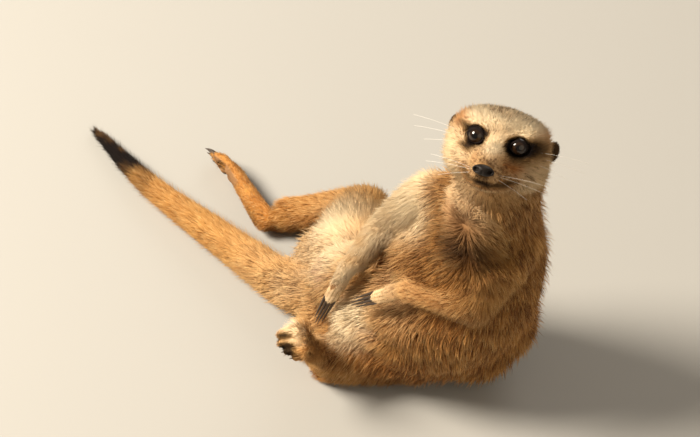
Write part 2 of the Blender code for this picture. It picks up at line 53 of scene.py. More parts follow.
joint = {
    "neckTop": (50.3, -7.8, 162.7),
    "neckBase": (42.6, -15.2, 134.5),
    "waist": (30.6, -12.7, 60.1),
    "rump": (-10.0, 7.9, 33.4),
    "tail1": (-48.5, 23.3, 12.0),
    "tail2": (-93.1, 63.6, 9.6),
    "tail3": (-141.3, 109.7, 5.9),
    "tailEnd": (-175.0, 152.7, 2.5),
    "hip_right": (-21.6, 32.3, 30.8),
    "knee_right": (-18.8, 85.5, 13.5),
    "ankle_right": (-70.7, 83.7, 9.8),
    "heel_right": (-74.7, 80.7, 9.3),
    "hip_left": (-30.4, -0.3, 30.8),
    "knee_left": (8.0, -17.4, 14.7),
    "ankle_left": (-41.9, -18.3, 12.0),
    "heel_left": (-38.9, -18.3, 12.0),
    "shoulder_right": (15.1, 6.8, 117.9),
    "elbow_right": (-8.2, 14.8, 86.4),
    "wrist_right": (-31.0, -3.7, 67.3),
    "shoulder_left": (56.2, -24.6, 121.3),
    "elbow_left": (36.1, -50.4, 96.6),
    "wrist_left": (-1.7, -31.9, 87.7),
}
joint = {name: np.array(place) * mm for name, place in joint.items()}


def fitFrame(local, world):
    # the turn and shift that best carry the local points to the world ones, by least squares
    localMid, worldMid = np.mean(local, axis=0), np.mean(world, axis=0)
    left, _, right = np.linalg.svd((world - worldMid).T @ (local - localMid))
    turn = left @ np.diag([1, 1, np.sign(np.linalg.det(left @ right))]) @ right
    return turn, worldMid - turn @ localMid


def toWorld(fitted, points):
    turn, shift = fitted
    return np.asarray(points, float) @ turn.T + shift


def toLocal(fitted, points):
    turn, shift = fitted
    return (points - shift) @ turn


def lengths(rows):
    # the root of the sum of squares along each row
    return np.linalg.norm(rows, axis=-1)


def units(rows):
    # each row over its length
    return rows / np.linalg.norm(rows, axis=-1, keepdims=True)


def bell(gap, width):
    # e to the minus square of the gap over the width
    return np.exp(-((gap / width) ** 2))


headPlan = {  # mm in the head's frame: x to the animal's right, y to the nose, z to the crown
    "eye": (10.4, -4.8, 0.0),
    "nose": (0, 26.2, -9.8),
}
eyeX, eyeY, eyeZ = headPlan["eye"]
headFrame = fitFrame(
    np.array([(eyeX, eyeY, eyeZ), (-eyeX, eyeY, eyeZ), headPlan["nose"]]) * mm,
    np.array([np.mean(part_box(name), axis=0) for name in ("eye_right", "eye_left", "nose")]),
)
print("joints found")


def fromHead(points):
    # out of the head's frame in mm
    return toWorld(headFrame, points * mm)


def toHead(points):
    return toLocal(headFrame, points) / mm


# surfaces on a grid


def gridFaces(rows, columns, looped=False):
    # quads of a grid of points: each row is a ring, and where it's looped the last row meets the first
    i = np.arange(rows if looped else rows - 1)[:, None] * columns
    ahead = (i + columns) % (rows * columns)
    j = np.arange(columns)[None]
    k = (j + 1) % columns
    return np.stack([i + j, ahead + j, ahead + k, i + k], axis=-1).reshape(-1, 4)


def smoothRows(values, steps):
    # a Catmull-Rom curve through the rows, with that many steps from each row to the next
    padded = np.concatenate([[2 * values[0] - values[1]], values, [2 * values[-1] - values[-2]]])
    t = (np.arange(steps) / steps)[None, :, None]
    p0, p1, p2, p3 = (padded[k : len(padded) - 3 + k][:, None] for k in range(4))
    bend, twist = 2 * p0 - 5 * p1 + 4 * p2 - p3, 3 * p1 - p0 - 3 * p2 + p3
    rows = 0.5 * (2 * p1 + (p2 - p0) * t + bend * t**2 + twist * t**3)
    return np.concatenate([rows.reshape(-1, values.shape[1]), values[-1:]])


def fullTurn(steps):
    return np.linspace(0, 2 * math.pi, steps, endpoint=False)


def tube(centres, side, wide, deep, sides=24, steps=5, domes=5):
    # ellipses carried along a curve, shrunk to a point over a quarter circle past each end; in metres
    rows = np.column_stack([centres, np.broadcast_to(side, np.shape(centres)), wide, deep]).astype(float)
    rows = smoothRows(rows, steps)
    middles, sideways, halves = rows[:, :3], rows[:, 3:6], np.maximum(rows[:, 6:], 0.05 * mm)
    along = units(np.gradient(middles, axis=0))
    turned = np.radians(np.linspace(0, 90, domes + 2)[1:])[:, None]

    def cap(end, sign):
        reach = halves[end].min()
        same = np.ones_like(turned)
        return (middles[end] + sign * along[end] * reach * np.sin(turned), sideways[end] * same,
                halves[end] * np.maximum(np.cos(turned), 1e-3), along[end] * same)

    parts = zip(cap(0, -1), (middles, sideways, halves, along), cap(-1, 1))
    middles, sideways, halves, along = (np.concatenate([a[::-1], b, c]) for a, b, c in parts)
    across = units(sideways - (sideways * along).sum(1, keepdims=True) * along)
    outward = np.cross(across, along)
    turn = fullTurn(sides)[None, :, None]
    points = middles[:, None] + across[:, None] * halves[:, None, :1] * np.cos(turn)
    points = points + outward[:, None] * halves[:, None, 1:] * np.sin(turn)
    return points.reshape(-1, 3), gridFaces(len(middles), sides)


def ball(centre, radii, turn=np.eye(3), rows=18, columns=28):
    # an ellipsoid: sines and cosines of a latitude and a longitude, stretched, turned and moved
    high = np.linspace(-math.pi / 2 + 0.02, math.pi / 2 - 0.02, rows)[:, None]
    about = fullTurn(columns)[None]
    unit = np.stack([np.cos(high) * np.cos(about), np.cos(high) * np.sin(about),
                     np.broadcast_to(np.sin(high), (rows, columns))], axis=-1)
    return (unit.reshape(-1, 3) * radii) @ turn.T + centre, gridFaces(rows, columns)


def linked(name, data):
    made = bpy.data.objects.new(name, data)
    bpy.context.scene.collection.objects.link(made)
    return made


def mergedMesh(name, meshes, weld=0):
    # several meshes in one, their points made one where they are that close together
    shape = bmesh.new()
    for mesh in meshes:
        shape.from_mesh(mesh)
    if weld:
        bmesh.ops.remove_doubles(shape, verts=shape.verts, dist=weld)
    made = bpy.data.meshes.new(name)
    shape.to_mesh(made)
    shape.free()
    return made


def meshObject(name, surfaces):
    # one object of several (points, quads), with its ends closed and its faces turned outwards
    starts = np.cumsum([0] + [len(points) for points, faces in surfaces])
    mesh = bpy.data.meshes.new(name)
    points = np.concatenate([points for points, faces in surfaces])
    faces = np.concatenate([faces + start for (_, faces), start in zip(surfaces, starts)])
    mesh.from_pydata(points, [], faces.tolist())
    shape = bmesh.new()
    shape.from_mesh(mesh)
    bmesh.ops.remove_doubles(shape, verts=shape.verts, dist=1e-6)
    bmesh.ops.holes_fill(shape, edges=[edge for edge in shape.edges if edge.is_boundary])
    bmesh.ops.recalc_face_normals(shape, faces=shape.faces)
    shape.to_mesh(mesh)
    shape.free()
    return linked(name, mesh)


def finishPiece(made, finish, slotName, *stoodFor):
    # smooth and in its finish, riding on the body, in place of the nodes it stands for
    made.data.materials.append(finish)
    made.data.shade_smooth()
    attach(made, "root")
    if stoodFor:
        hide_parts(*stoodFor)


def valuesOf(collection, name, kind=float):
    # a vector of three values of each item, as rows
    values = np.empty(len(collection) * 3, kind)
    collection.foreach_get(name, values)
    return values.reshape(-1, 3)


def pointsOf(mesh):
    return valuesOf(mesh.vertices, "co")


def normalsOf(mesh):
    return valuesOf(mesh.vertex_normals, "vector")


def setPoints(mesh, points):
    mesh.vertices.foreach_set("co", points.ravel())
    mesh.update()


def applyAll(made):
    # the object's mesh with its modifiers in it
    graph = bpy.context.evaluated_depsgraph_get()
    graph.update()
    mesh = bpy.data.meshes.new_from_object(made.evaluated_get(graph))
    made.modifiers.clear()
    old, made.data = made.data, mesh
    bpy.data.meshes.remove(old)


def smoothed(made, rounds):
    smooth = made.modifiers.new("smooth", "SMOOTH")
    smooth.factor, smooth.iterations = 0.5, rounds
    applyAll(made)


def remeshed(made, voxel, rounds):
    remesh = made.modifiers.new("remesh", "REMESH")
    remesh.mode, remesh.voxel_size = "VOXEL", voxel * mm
    smoothed(made, rounds)


# paws, in mm in the paw's frame: y to the tips and z out of its back
# palm: place along y, half width and half height; digits: side, knuckle, length, splay, radius, curl

handPlan = {
    "palm": [(-4, 4.2, 4.3), (0, 4.6, 4.4), (5, 4.8, 4.0), (9, 4.7, 3.4), (12, 4.2, 2.8)],
    "digits": [(-3.0, 9, 8.5, 2, 1.75, 14), (-1.05, 10.5, 9.5, 1, 1.8, 12),
               (1.05, 10.5, 9.5, -1, 1.8, 12), (3.0, 9, 8.5, -2, 1.75, 14)],
    "claw": (14.5, 0.92, 3.2),  # length, half width, hook
    "pad": 0.65,
}
footPlan = {
    "palm": [(0, 6.4, 6.6), (5, 6.6, 6.6), (14, 6.4, 6.0), (26, 6.2, 5.3), (38, 6.7, 4.9), (44, 6.2, 4.0)],
    "digits": [(-4.8, 41, 13, -3, 2.5, 16), (-1.65, 43, 15, -1, 2.6, 16), (1.65, 43, 15, 1, 2.6, 16),
               (4.8, 41, 13, 3, 2.5, 16)],
    "claw": (7, 1.0, 2),
    "pad": 1.05,
}
curledPlan = {
    "palm": [(-4, 6.8, 6.6), (0, 6.8, 6.4), (12, 6.2, 5.4), (26, 6.3, 4.9), (38, 6.8, 4.8), (43, 6.4, 4.4)],
    "digits": [(-5.0, 40, 4, -4, 2.7, 50), (-1.8, 42, 6, -1, 3.1, 50), (2.0, 43, 7, 2, 3.6, 50),
               (6.0, 43, 7, 4, 4.5, 46)],
    "claw": (1.0, 0.8, 2.8),
    "pad": 1.2,
}
pawPlans = {  # plan, root, then the heading and rise in degrees of where it points and where its back faces
    "hand_left": (handPlan, "wrist_left", (169, -33), (270, 50.3)),
    "hand_right": (handPlan, "wrist_right", (222, -52), (270, 50.3)),
    "foot_left": (curledPlan, "heel_left", (233, 57), (12, 0)),
    "foot_right": (footPlan, "heel_right", (117, -2), (20, 12)),
}


def digitPoints(digit, rows):
    # points along a digit in the paw's frame, each that far out from its knuckle and down from its line
    side, knuckle, _, splay, _, _ = digit
    reach, down = np.transpose(rows)[:2]
    angle = math.radians(splay)
    return np.stack([side + math.sin(angle) * reach, knuckle + math.cos(angle) * reach, -down], axis=1)


def digitDrop(digit):
    # how far the curl brings the tip down
    return digit[2] * math.tan(math.radians(digit[5]))


def heading(degrees, rise):
    # a direction from its heading about the z axis and its rise above level
    turn, up = math.radians(degrees), math.radians(rise)
    return np.array([math.cos(turn) * math.cos(up), math.sin(turn) * math.cos(up), math.sin(up)])


def pawFrame(name):
    # the paw's turn, from where it points and what its back faces, and its root
    _, root, ahead, back = pawPlans[name]
    yAxis = heading(*ahead)
    xAxis = units(np.cross(yAxis, heading(*back)))
    return np.stack([xAxis, yAxis, np.cross(xAxis, yAxis)], axis=1), joint[root]


def clawEnds(name):
    # where each digit's claw starts and ends
    plan, fitted = pawPlans[name][0], pawFrame(name)
    long, _, hook = plan["claw"]
    ends = []
    for digit in plan["digits"]:
        length, drop = digit[2], digitDrop(digit)
        ends.append(digitPoints(digit, [(length * 0.5, drop * 0.2), (length + long, drop + hook)]))
    return [toWorld(fitted, np.array(ends)[:, k] * mm) for k in (0, 1)]


for name in pawPlans:
    joint[name] = clawEnds(name)[1].mean(0)

# bones: what the coat is like along each, in mm, degrees and tufts per square mm; girth is the skin's distance

coatPlan = {
    #            start, end,           depth long wide lift dense  cream rust grizzle dark  girth
    "head":     ("noseTip", "neckTop",   1.3, 4.2, 0.27, 24, 6.2,  0.42, 0.10, 0.42, 0, 23),
    "neck":     ("neckTop", "neckBase",  3.2, 8.0, 0.33, 18, 2.6,  0.30, 0.22, 0.22, 0, 22),
    # the chest's and abdomen's rust, grizzle and dark are partly their own grizzled colour, partly painted
    # shade
    "chest":    ("neckBase", "waist",    4.0, 12., 0.36, 18, 1.95, 0.05, 0.50, 0.50, 0.04, 33),
    "abdomen":  ("waist", "rump",        4.0, 12., 0.36, 18, 2.0,  0.10, 0.50, 0.34, 0, 33),
    "pelvis":   ("rump", "tail1",        2.4, 8.5, 0.33, 15, 2.4,  0.45, 0.08, 0.14, 0, 24),
    "tailA":    ("tail1", "tail2",       2.2, 8.5, 0.34, 14, 4.4,  0.15, 0.14, 0.16, 0, 10),
    "tailB":    ("tail2", "tail3",       1.8, 8.0, 0.33, 14, 4.6,  0.03, 0.34, 0.22, 0, 10),
    "tailC":    ("tail3", "tailEnd",     1.2, 7.0, 0.32, 13, 4.8,  0.00, 0.60, 0.30, 0.92, 10),
}
limbCoats = {
    #            start, end,            depth long wide lift dense girth
    "thigh":    ("hip", "knee",        (2.2, 7.2, 0.34, 15, 3.9), 15),
    "shank":    ("knee", "ankle",      (1.8, 6.8, 0.33, 15, 4.0), 11),
    "foot":     ("ankle", "foot",      (0.4, 2.8, 0.26, 13, 5.0), 7),
    "upperArm": ("shoulder", "elbow",  (2.2, 7.5, 0.34, 17, 4.6), 11),
    "forearm":  ("elbow", "wrist",     (1.2, 5.6, 0.30, 17, 5.6), 7),
    "hand":     ("wrist", "hand",      (0.35, 2.1, 0.22, 12, 6.4), 7),
}
limbMarks = {  # cream, rust, grizzle and dark on the left and on the right
    "thigh": ((0.22, 0.06, 0.14, 0), (0.22, 0.06, 0.14, 0)),
    # the shanks' rust and the right foot's rust are partly their own colour, partly painted shade
    "shank": ((0.00, 0.50, 0.28, 0), (0.00, 0.52, 0.26, 0)),
    "foot": ((0.34, 0.16, 0.20, 0), (0.04, 0.55, 0.26, 0)),
    # painted light and shade: the right arm's cream is partly painted light, the left arm's rust and grizzle
    # are partly painted shade
    "upperArm": ((0.18, 0.34, 0.40, 0), (0.96, 0.00, 0.05, 0)),
    "forearm": ((0.28, 0.46, 0.30, 0), (0.98, 0.00, 0.00, 0)),
    "hand": ((0.62, 0.06, 0.20, 0), (0.62, 0.06, 0.20, 0)),
}
for k, side in enumerate(("left", "right")):
    for name, (start, end, coat, girth) in limbCoats.items():
        coatPlan[f"{name}_{side}"] = (f"{start}_{side}", f"{end}_{side}", *coat, *limbMarks[name][k], girth)
coatKinds = ["depth", "long", "wide", "lift", "dense", "cream", "rust", "grizzle", "dark", "girth"]
joint["noseTip"] = fromHead(np.array([0, 30, -8]))
boneNames = list(coatPlan)
boneStarts = np.array([joint[coatPlan[name][0]] for name in boneNames])
boneEnds = np.array([joint[coatPlan[name][1]] for name in boneNames])
boneValues = np.array([coatPlan[name][2:] for name in boneNames], float)
boneGirth = boneValues[:, coatKinds.index("girth")] * mm


def smoothStep(low, high, value):
    # 0 below low and 1 above high, over three squares less two cubes between
    t = np.clip((value - low) / (high - low), 0, 1)
    return t * t * (3 - 2 * t)


def inHead(points):
    # 1 in the head and 0 below it, with a soft edge across the neck
    local = toHead(points)
    near = smoothStep(-52, -44, -lengths(local - [0, -10, -8]))
    return near * smoothStep(-34, -22, local[:, 2] + 0.4 * local[:, 1])


def boneShares(points, softness=0.16):
    # how much each bone has of each point: the nearer for its girth, the more
    inner = inHead(points)[:, None]
    spans = boneEnds - boneStarts
    along = ((points[:, None] - boneStarts) * spans).sum(2) / (spans**2).sum(1)
    feet = boneStarts + np.clip(along, 0, 1)[:, :, None] * spans
    away = lengths(points[:, None] - feet) / boneGirth
    shares = np.exp(-(away - away.min(1, keepdims=True)) / softness)
    shares *= (1 - inner) / shares.sum(1, keepdims=True)
    shares[:, boneNames.index("head")] += inner[:, 0]
    return shares


# the skin

skinPlan = {
    "bodyVoxel": 1.5,
    "headVoxel": 0.68,
    "pawVoxel": 0.6,
    "bodySmooth": 14,
    "headSmooth": 16,
    "pawSmooth": 2,
    "swell": 0.35,  # so that neighbouring solids meet
    "headSink": 2.2,  # how far the body's lump is below the fine head that covers it
    "bodySettle": 6,
    "headCoat": 1.2,  # how far the fine head and paws lie inside the solid ones
    "pawCoat": 0.45,
}
apart = ("eye", "nose", "claw", "ear")  # not in the body's own lump
fleshNodes = [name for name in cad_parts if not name.startswith(apart)]
bodyLumps = [  # middle and radii in mm, out to the tips of the coat
    ((13, 3, 79), (19, 17, 20)),  # the flank under the right arm
    ((10, -11, 86), (17, 16, 17)),
    ((-6, 8, 60), (15, 18, 15)),  # from the flank down into the groin
    ((-20, 0, 46), (14, 14, 13)),
    ((48, -9, 55), (23, 24, 24)),  # fills the dip above the rump
    ((38, -14, 26), (25, 24, 23)),
]
limbLumps = [  # start, end and the two radii in mm
    ((4, -18, 20), (-39.5, -20, 19.5), 15.0, 13.6),  # the left shank
    ((-26, -14, 40), (4, -34, 47), 9.5, 10.5),  # the left thigh's ridge
]


def limbLump(start, end, first, last):
    # round rings along a straight line
    along = np.linspace(0, 1, 6)[:, None]
    radii = (first + (last - first) * along[:, 0]) * mm
    centres = (np.array(start) + (np.array(end) - start) * along) * mm
    return tube(centres, np.array([0, 0, 1.0]), radii, radii, 28, 3)


def bodyLump():
    # every flesh solid but the paws, which are finer and on their own: merged, swollen a little, made one
    solids = [name for name in fleshNodes if not name.startswith(("hand", "foot"))]
    flesh = mergedMesh("flesh", [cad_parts[name].data for name in solids], weld=1e-5)
    setPoints(flesh, pointsOf(flesh) + normalsOf(flesh) * skinPlan["swell"] * mm)
    balls = [ball(np.array(middle) * mm, np.array(radii) * mm) for middle, radii in bodyLumps]
    fuller = meshObject("fuller", balls + [limbLump(*row) for row in limbLumps])
    made = linked("body", mergedMesh("body", [flesh, fuller.data]))
    bpy.data.objects.remove(fuller)
    remeshed(made, skinPlan["bodyVoxel"], skinPlan["bodySmooth"])
    points, normals = pointsOf(made.data), normalsOf(made.data)
    depth = boneShares(points, 0.25) @ boneValues[:, coatKinds.index("depth")] * mm
    depth += skinPlan["headSink"] * mm * inHead(points)
    setPoints(made.data, points - normals * depth[:, None])
    smoothed(made, skinPlan["bodySettle"])
    return made


def headLump():
    # skull, brows, cheeks, muzzle, jaw, throat and neck as ellipsoids and tubes in the head's frame, made one
    turn = headFrame[0]
    less = skinPlan["headCoat"]

    def lump(centre, radii):
        return ball(fromHead(np.array(centre)), (np.array(radii) - less) * mm, turn)

    def run(rows):
        rows = np.array(rows, float)
        centres = np.column_stack([np.zeros(len(rows)), rows[:, :2]])
        halves = (rows[:, 2:] - less * 0.8) * mm
        return tube(fromHead(centres), turn[:, 0], halves[:, 0], halves[:, 1], sides=40)

    surfaces = [
        lump((0, -18, -3), (26.4, 22, 18)),  # skull
        lump((0, -6.5, 2), (11, 8, 10.5)),  # forehead
        run([(-10, -7, 18, 15), (-2, -9.0, 13.8, 11.4), (5, -10.4, 11.2, 9.8), (12, -11.2, 8.5, 8.2),
             (18, -11.6, 6.8, 6.5), (22.5, -11.6, 5.4, 5.2)]),  # muzzle
        run([(-18, -17, 16, 10), (-4, -17.6, 14, 8), (5, -18.4, 11.4, 6.0), (12, -18.9, 8.0, 4.7),
             (17, -18.6, 5.2, 3.4)]),  # jaw
        run([(-30, -26, 19, 13), (-22, -24, 18.0, 12), (-12, -21, 14.5, 9)]),  # throat
        run([(-36, -52, 15, 12), (-29, -40, 16, 13), (-22, -29.5, 16, 12.5), (-14, -22.5, 14, 10)]),  # neck
    ]
    for side in (-1, 1):
        surfaces += [
            lump((side * 13, -17, -11.5), (12.2, 16, 12.5)),  # cheek
            lump((side * 12.5, -9.8, 5.6), (8.4, 8, 5.6)),  # brow
            lump((side * 9.5, -4, -10.5), (8, 9.5, 8)),  # below the eye
            lump((side * 3.7, 16, -14.4), (4.5, 7, 4.6)),  # the whisker pad
        ]
    made = meshObject("headLump", surfaces)
    remeshed(made, skinPlan["headVoxel"], skinPlan["headSmooth"])
    return made


eyePlan = {  # mm, in each eye's frame: x outwards, y forwards, z up
    "radius": 5.4,
    "opening": (3.85, 2.95),  # half width and half height between the lids
    "lid": (0.55, 0.40),  # half width and half height of the rim of each lid
    "turnOut": 9,  # degrees
    "lidLean": 28,  # degrees that the lid's rim faces inwards
    "lidOnBall": 0.65,  # how much the rim keeps to the ball rather than to the head around it
    "leftOpen": 0.86,  # the left eye is a little less open
}
nosePlan = {  # mm in the head's frame
    "middle": (0, 25.0, -10.9),
    "radii": (5.5, 3.3, 2.7),
    "nostril": (2.9, -0.3, 1.15, 2.6),  # to the side, up from the middle, width, depth
}
mouthPlan = {
    "line": [(12.4, 0.4, -16.2), (11.2, 2.4, -16.9), (9.3, 6.8, -18.2), (5.4, 13.2, -18.5),
             (2.6, 18.0, -18.6), (0, 19.4, -18.6)],  # one side of the mouth, in the head's frame in mm
    "deep": 1.3,
    "wide": 1.0,
}


def turnedAbout(degrees):
    # a turn about the z axis
    c, s = math.cos(math.radians(degrees)), math.sin(math.radians(degrees))
    return np.array([[c, -s, 0], [s, c, 0], [0, 0, 1]])


def eyeFrame(side):
    # the eye's frame in the head's: its turn and its middle
    return turnedAbout(-side * eyePlan["turnOut"]), np.array([side * eyeX, eyeY, eyeZ])


def offRun(points, start, end):
    # the way to each point from the nearest spot on a straight run
    span = end - start
    t = np.clip(((points - start) @ span) / max(span @ span, 1e-12), 0, 1)[:, None]
    return points - start - t * span


def gapsToLine(points, line):
    # how far each point is from a bent line, by the nearest spot on each of its straight runs
    line = np.asarray(line, float)
    gaps = np.full(len(points), 1e9)
    for start, end in zip(line[:-1], line[1:]):
        gaps = np.minimum(gaps, lengths(offRun(points, start, end)))
    return gaps


def bothSides(line):
    # a line that ends in the middle, carried on as its mirror image
    line = np.array(line, float)
    return np.concatenate([line, (line * [-1, 1, 1])[-2::-1]])


headDents = [  # middle, width, depth in mm
    ((6.4, 3.5, -3.2), 3.6, 1.1),  # from the inner corner of the eye down the side of the muzzle
    ((0, -5, 12), 7, 0.5),  # between the brows
    ((9.2, 12, -10.5), 3.2, 0.5),
    ((17, -6, -6), 5, -0.8),  # the cheekbone stands out
    ((13.5, -1.2, 6.2), 4, -0.7),  # the brow's edge
]
lipPlan = {  # the split under the nose, in mm
    "line": [(0, 27.5, -13), (0, 24, -15.5), (0, 20, -18)],
    "deep": 0.6,
    "wide": 0.6,
}


def grooveAt(points, line, plan):
    # how deep a round groove along a line is at each point
    return bell(gapsToLine(points, line), plan["wide"]) * plan["deep"]


def carveHead(made):
    # sockets pressed in under the eyes, the groove of the mouth, the split under the nose and small hollows
    points = toHead(pointsOf(made.data))
    normals = normalsOf(made.data) @ headFrame[0]
    for side in (-1, 1):
        turn, middle = eyeFrame(side)
        seen = (points - middle) @ turn
        away = np.hypot(seen[:, 0] / 1.08, seen[:, 2])
        pressed = np.sqrt(np.maximum((eyePlan["radius"] - 0.8) ** 2 - (away * 0.97) ** 2, 0))
        share = smoothStep(-5.7, -4.3, -away) * (seen[:, 1] > 0)
        seen[:, 1] += (np.minimum(pressed, seen[:, 1]) - seen[:, 1]) * share
        points = seen @ turn.T + middle
    sink = grooveAt(points, mouthLine, mouthPlan) + grooveAt(points, lipPlan["line"], lipPlan)
    for (x, y, z), wide, deep in headDents:
        for side in (-1, 1) if x else (1,):
            sink += deep * bell(lengths(points - [side * x, y, z]), wide)
    setPoints(made.data, fromHead(points - normals * sink[:, None]))


def lidRim(side, surface):
    # an oval round the opening, an ellipse carried along it, its height taken off the head around the eye
    turn, middle = eyeFrame(side)
    around = fullTurn(72)
    lidWide, lidHigh = eyePlan["lid"]
    wide, high = (half + lidWide * 0.72 for half in eyePlan["opening"])
    high *= 1 if side > 0 else eyePlan["leftOpen"]
    flat = np.stack([wide * np.cos(around), np.zeros_like(around), high * np.sin(around)], axis=1)
    flat[:, 2] *= 1 - 0.16 * np.abs(np.cos(around)) ** 3  # drawn in towards both corners
    flat[:, 2] += 0.25 * side * np.cos(around)
    out = units(flat)
    seen = (surface - middle) @ turn
    seen = seen[seen[:, 1] > 0]
    reach = KDTree(len(seen))
    for k, point in enumerate(seen * [1, 0, 1]):
        reach.insert(point, k)
    reach.balance()
    natural = np.array([seen[reach.find(point)[1], 1] for point in flat + out * 1.5])
    waves = [np.ones(len(around)), *(wave(k * around) for k in (1, 2) for wave in (np.cos, np.sin))]
    waves = np.stack(waves, axis=1)
    natural = waves @ np.linalg.lstsq(waves, natural, rcond=None)[0]
    onBall = np.sqrt(eyePlan["radius"] ** 2 - (lengths(flat) - lidWide * 0.9) ** 2)
    flat[:, 1] = (1 - eyePlan["lidOnBall"]) * natural + eyePlan["lidOnBall"] * onBall
    lean = np.radians(eyePlan["lidLean"])
    section = fullTurn(14)[None, :, None]
    upper = 1 + 0.9 * np.clip(np.sin(around), 0, 1)[:, None, None]
    ahead = np.array([0, 1.0, 0])
    across = out * math.cos(lean) - ahead * math.sin(lean)
    proud = ahead * math.cos(lean) + out * math.sin(lean)
    points = flat[:, None] + across[:, None] * lidWide * upper * np.cos(section)
    points = points + proud[:, None] * lidHigh * upper * np.sin(section)
    points = points.reshape(-1, 3) @ turn.T + middle
    return fromHead(points), gridFaces(len(around), 14, looped=True)


earPlan = {  # mm and degrees in the head's frame
    "middle": (25.4, -24.7, -1.2),
    "radii": (2.5, 3.9, 5.0),
    "turnOut": 28,
}


def earLump(side):
    # a small cupped crescent: an ellipsoid pressed in where it faces forward
    spin = headFrame[0] @ turnedAbout(side * earPlan["turnOut"])
    centre = fromHead(np.array(earPlan["middle"]) * [side, 1, 1])
    points, faces = ball(centre, np.array(earPlan["radii"]) * mm, spin, 28, 40)
    local = (points - centre) @ spin / mm
    cup = np.exp(-((local[:, 1] - 1.3) / 2.3) ** 2 - (local[:, 2] / 3.3) ** 2)
    outer = np.clip(side * local[:, 0] / 3.2, 0, 1)
    local[:, 0] -= side * 2.8 * cup * outer
    return (local * mm) @ spin.T + centre, faces


def pawLump(name):
    # the palm as a tube, each digit as a tube with a knuckle and a pad under its tip
    plan, fitted = pawPlans[name][0], pawFrame(name)
    less = skinPlan["pawCoat"]
    turn = fitted[0]
    along, wide, deep = np.array(plan["palm"], float).T
    centres = np.outer(along, [0, 1, 0]) * mm
    surfaces = [tube(toWorld(fitted, centres), turn[:, 0], (wide - less) * mm, (deep - less) * mm, 28)]
    for digit in plan["digits"]:
        length, radius, drop = digit[2], digit[4] - less * 0.7, digitDrop(digit)
        rows = np.array([(-5, -0.6, 0.9, 0.9), (0, -0.3, 1.02, 1.0), (length * 0.3, drop * 0.05, 0.86, 0.86),
                         (length * 0.55, drop * 0.22, 0.98, 1.0), (length * 0.8, drop * 0.6, 0.86, 0.84),
                         (length, drop, 0.66, 0.7)])
        centres = digitPoints(digit, rows) * mm
        halves = rows[:, 2:] * radius * mm
        surfaces.append(tube(toWorld(fitted, centres), turn[:, 0], halves[:, 0], halves[:, 1], 18, 4, 4))
        pad = toWorld(fitted, digitPoints(digit, [(length * 0.78, drop * 0.7 + radius * 0.55)])[0] * mm)
        surfaces.append(ball(pad, np.array([0.8, 1.1, 0.6]) * radius * mm, turn, 12, 16))
    for x in (-0.5, 0.5):
        pad = toWorld(fitted, np.array([x * wide[-1], along[-1] - 3, -deep[-1] * 0.72]) * mm)
        surfaces.append(ball(pad, np.array([2.4, 3.4, 1.6]) * plan["pad"] * mm, turn, 12, 16))
    made = meshObject(name + "Lump", surfaces)
    remeshed(made, skinPlan["pawVoxel"], skinPlan["pawSmooth"])
    return made


body = bodyLump()
print("body", len(body.data.vertices))
head = headLump()
surface = toHead(pointsOf(head.data))
mouthLine = smoothRows(bothSides(mouthPlan["line"]), 4)
mouthLine = np.array([surface[lengths(surface - place).argmin()] for place in mouthLine])
carveHead(head)
print("head", len(head.data.vertices))
surface = toHead(pointsOf(head.data))
eyeRims = [meshObject("lidRim", [lidRim(side, surface)]) for side in (-1, 1)]
paws = [pawLump(name) for name in pawPlans]
ears = [meshObject("earLump", [earLump(side)]) for side in (-1, 1)]
print("paws", [len(made.data.vertices) for made in paws])


def unite(target, others):
    for other in others:
        join = target.modifiers.new("join", "BOOLEAN")
        join.operation, join.solver, join.object = "UNION", "MANIFOLD", other
        applyAll(target)
        bpy.data.objects.remove(other)


def relax(made, share, rounds):
    # each point goes part of the way to the mean of its neighbours, as far as its share says
    mesh = made.data
    ends = np.empty(len(mesh.edges) * 2, np.int64)
    mesh.edges.foreach_get("vertices", ends)
    one, two = ends.reshape(-1, 2).T
    points = pointsOf(mesh)
    count = np.bincount(ends, minlength=len(points))[:, None]
    for _ in range(rounds):
        total = np.stack([
            np.bincount(one, points[two, k], len(points)) + np.bincount(two, points[one, k], len(points))
            for k in range(3)
        ], axis=1)
        points = points + (total / count - points) * share[:, None] * 0.6
    setPoints(mesh, points)


relaxed = [  # middle and width in mm, rounds
    ((8, -8, 88), 24, 60),
    ((50, -10, 46), 30, 50),
    ((-20, -18, 44), 12, 10),
]
unite(head, eyeRims)
unite(body, [head, *paws, *ears])
seams = [joint[name + side] for name in ("wrist_", "heel_") for side in ("left", "right")]
near = np.min([lengths(pointsOf(body.data) - seam) for seam in seams], axis=0)
relax(body, bell(near, 12 * mm), 30)
points = pointsOf(body.data)
armBones = [k for k, name in enumerate(boneNames) if name.startswith(("upper", "fore", "hand"))]
onArms = boneShares(points)[:, armBones].sum(1)
for place, wide, rounds in relaxed:
    relax(body, bell(lengths(pointsOf(body.data) / mm - place), wide) * (1 - onArms), rounds)
inside = toHead(pointsOf(body.data))
band = bell(inside[:, 2] + 27, 9) * smoothStep(-4, -12, inside[:, 1])  # where the head meets the neck
relax(body, band * (lengths(inside) < 60), 40)

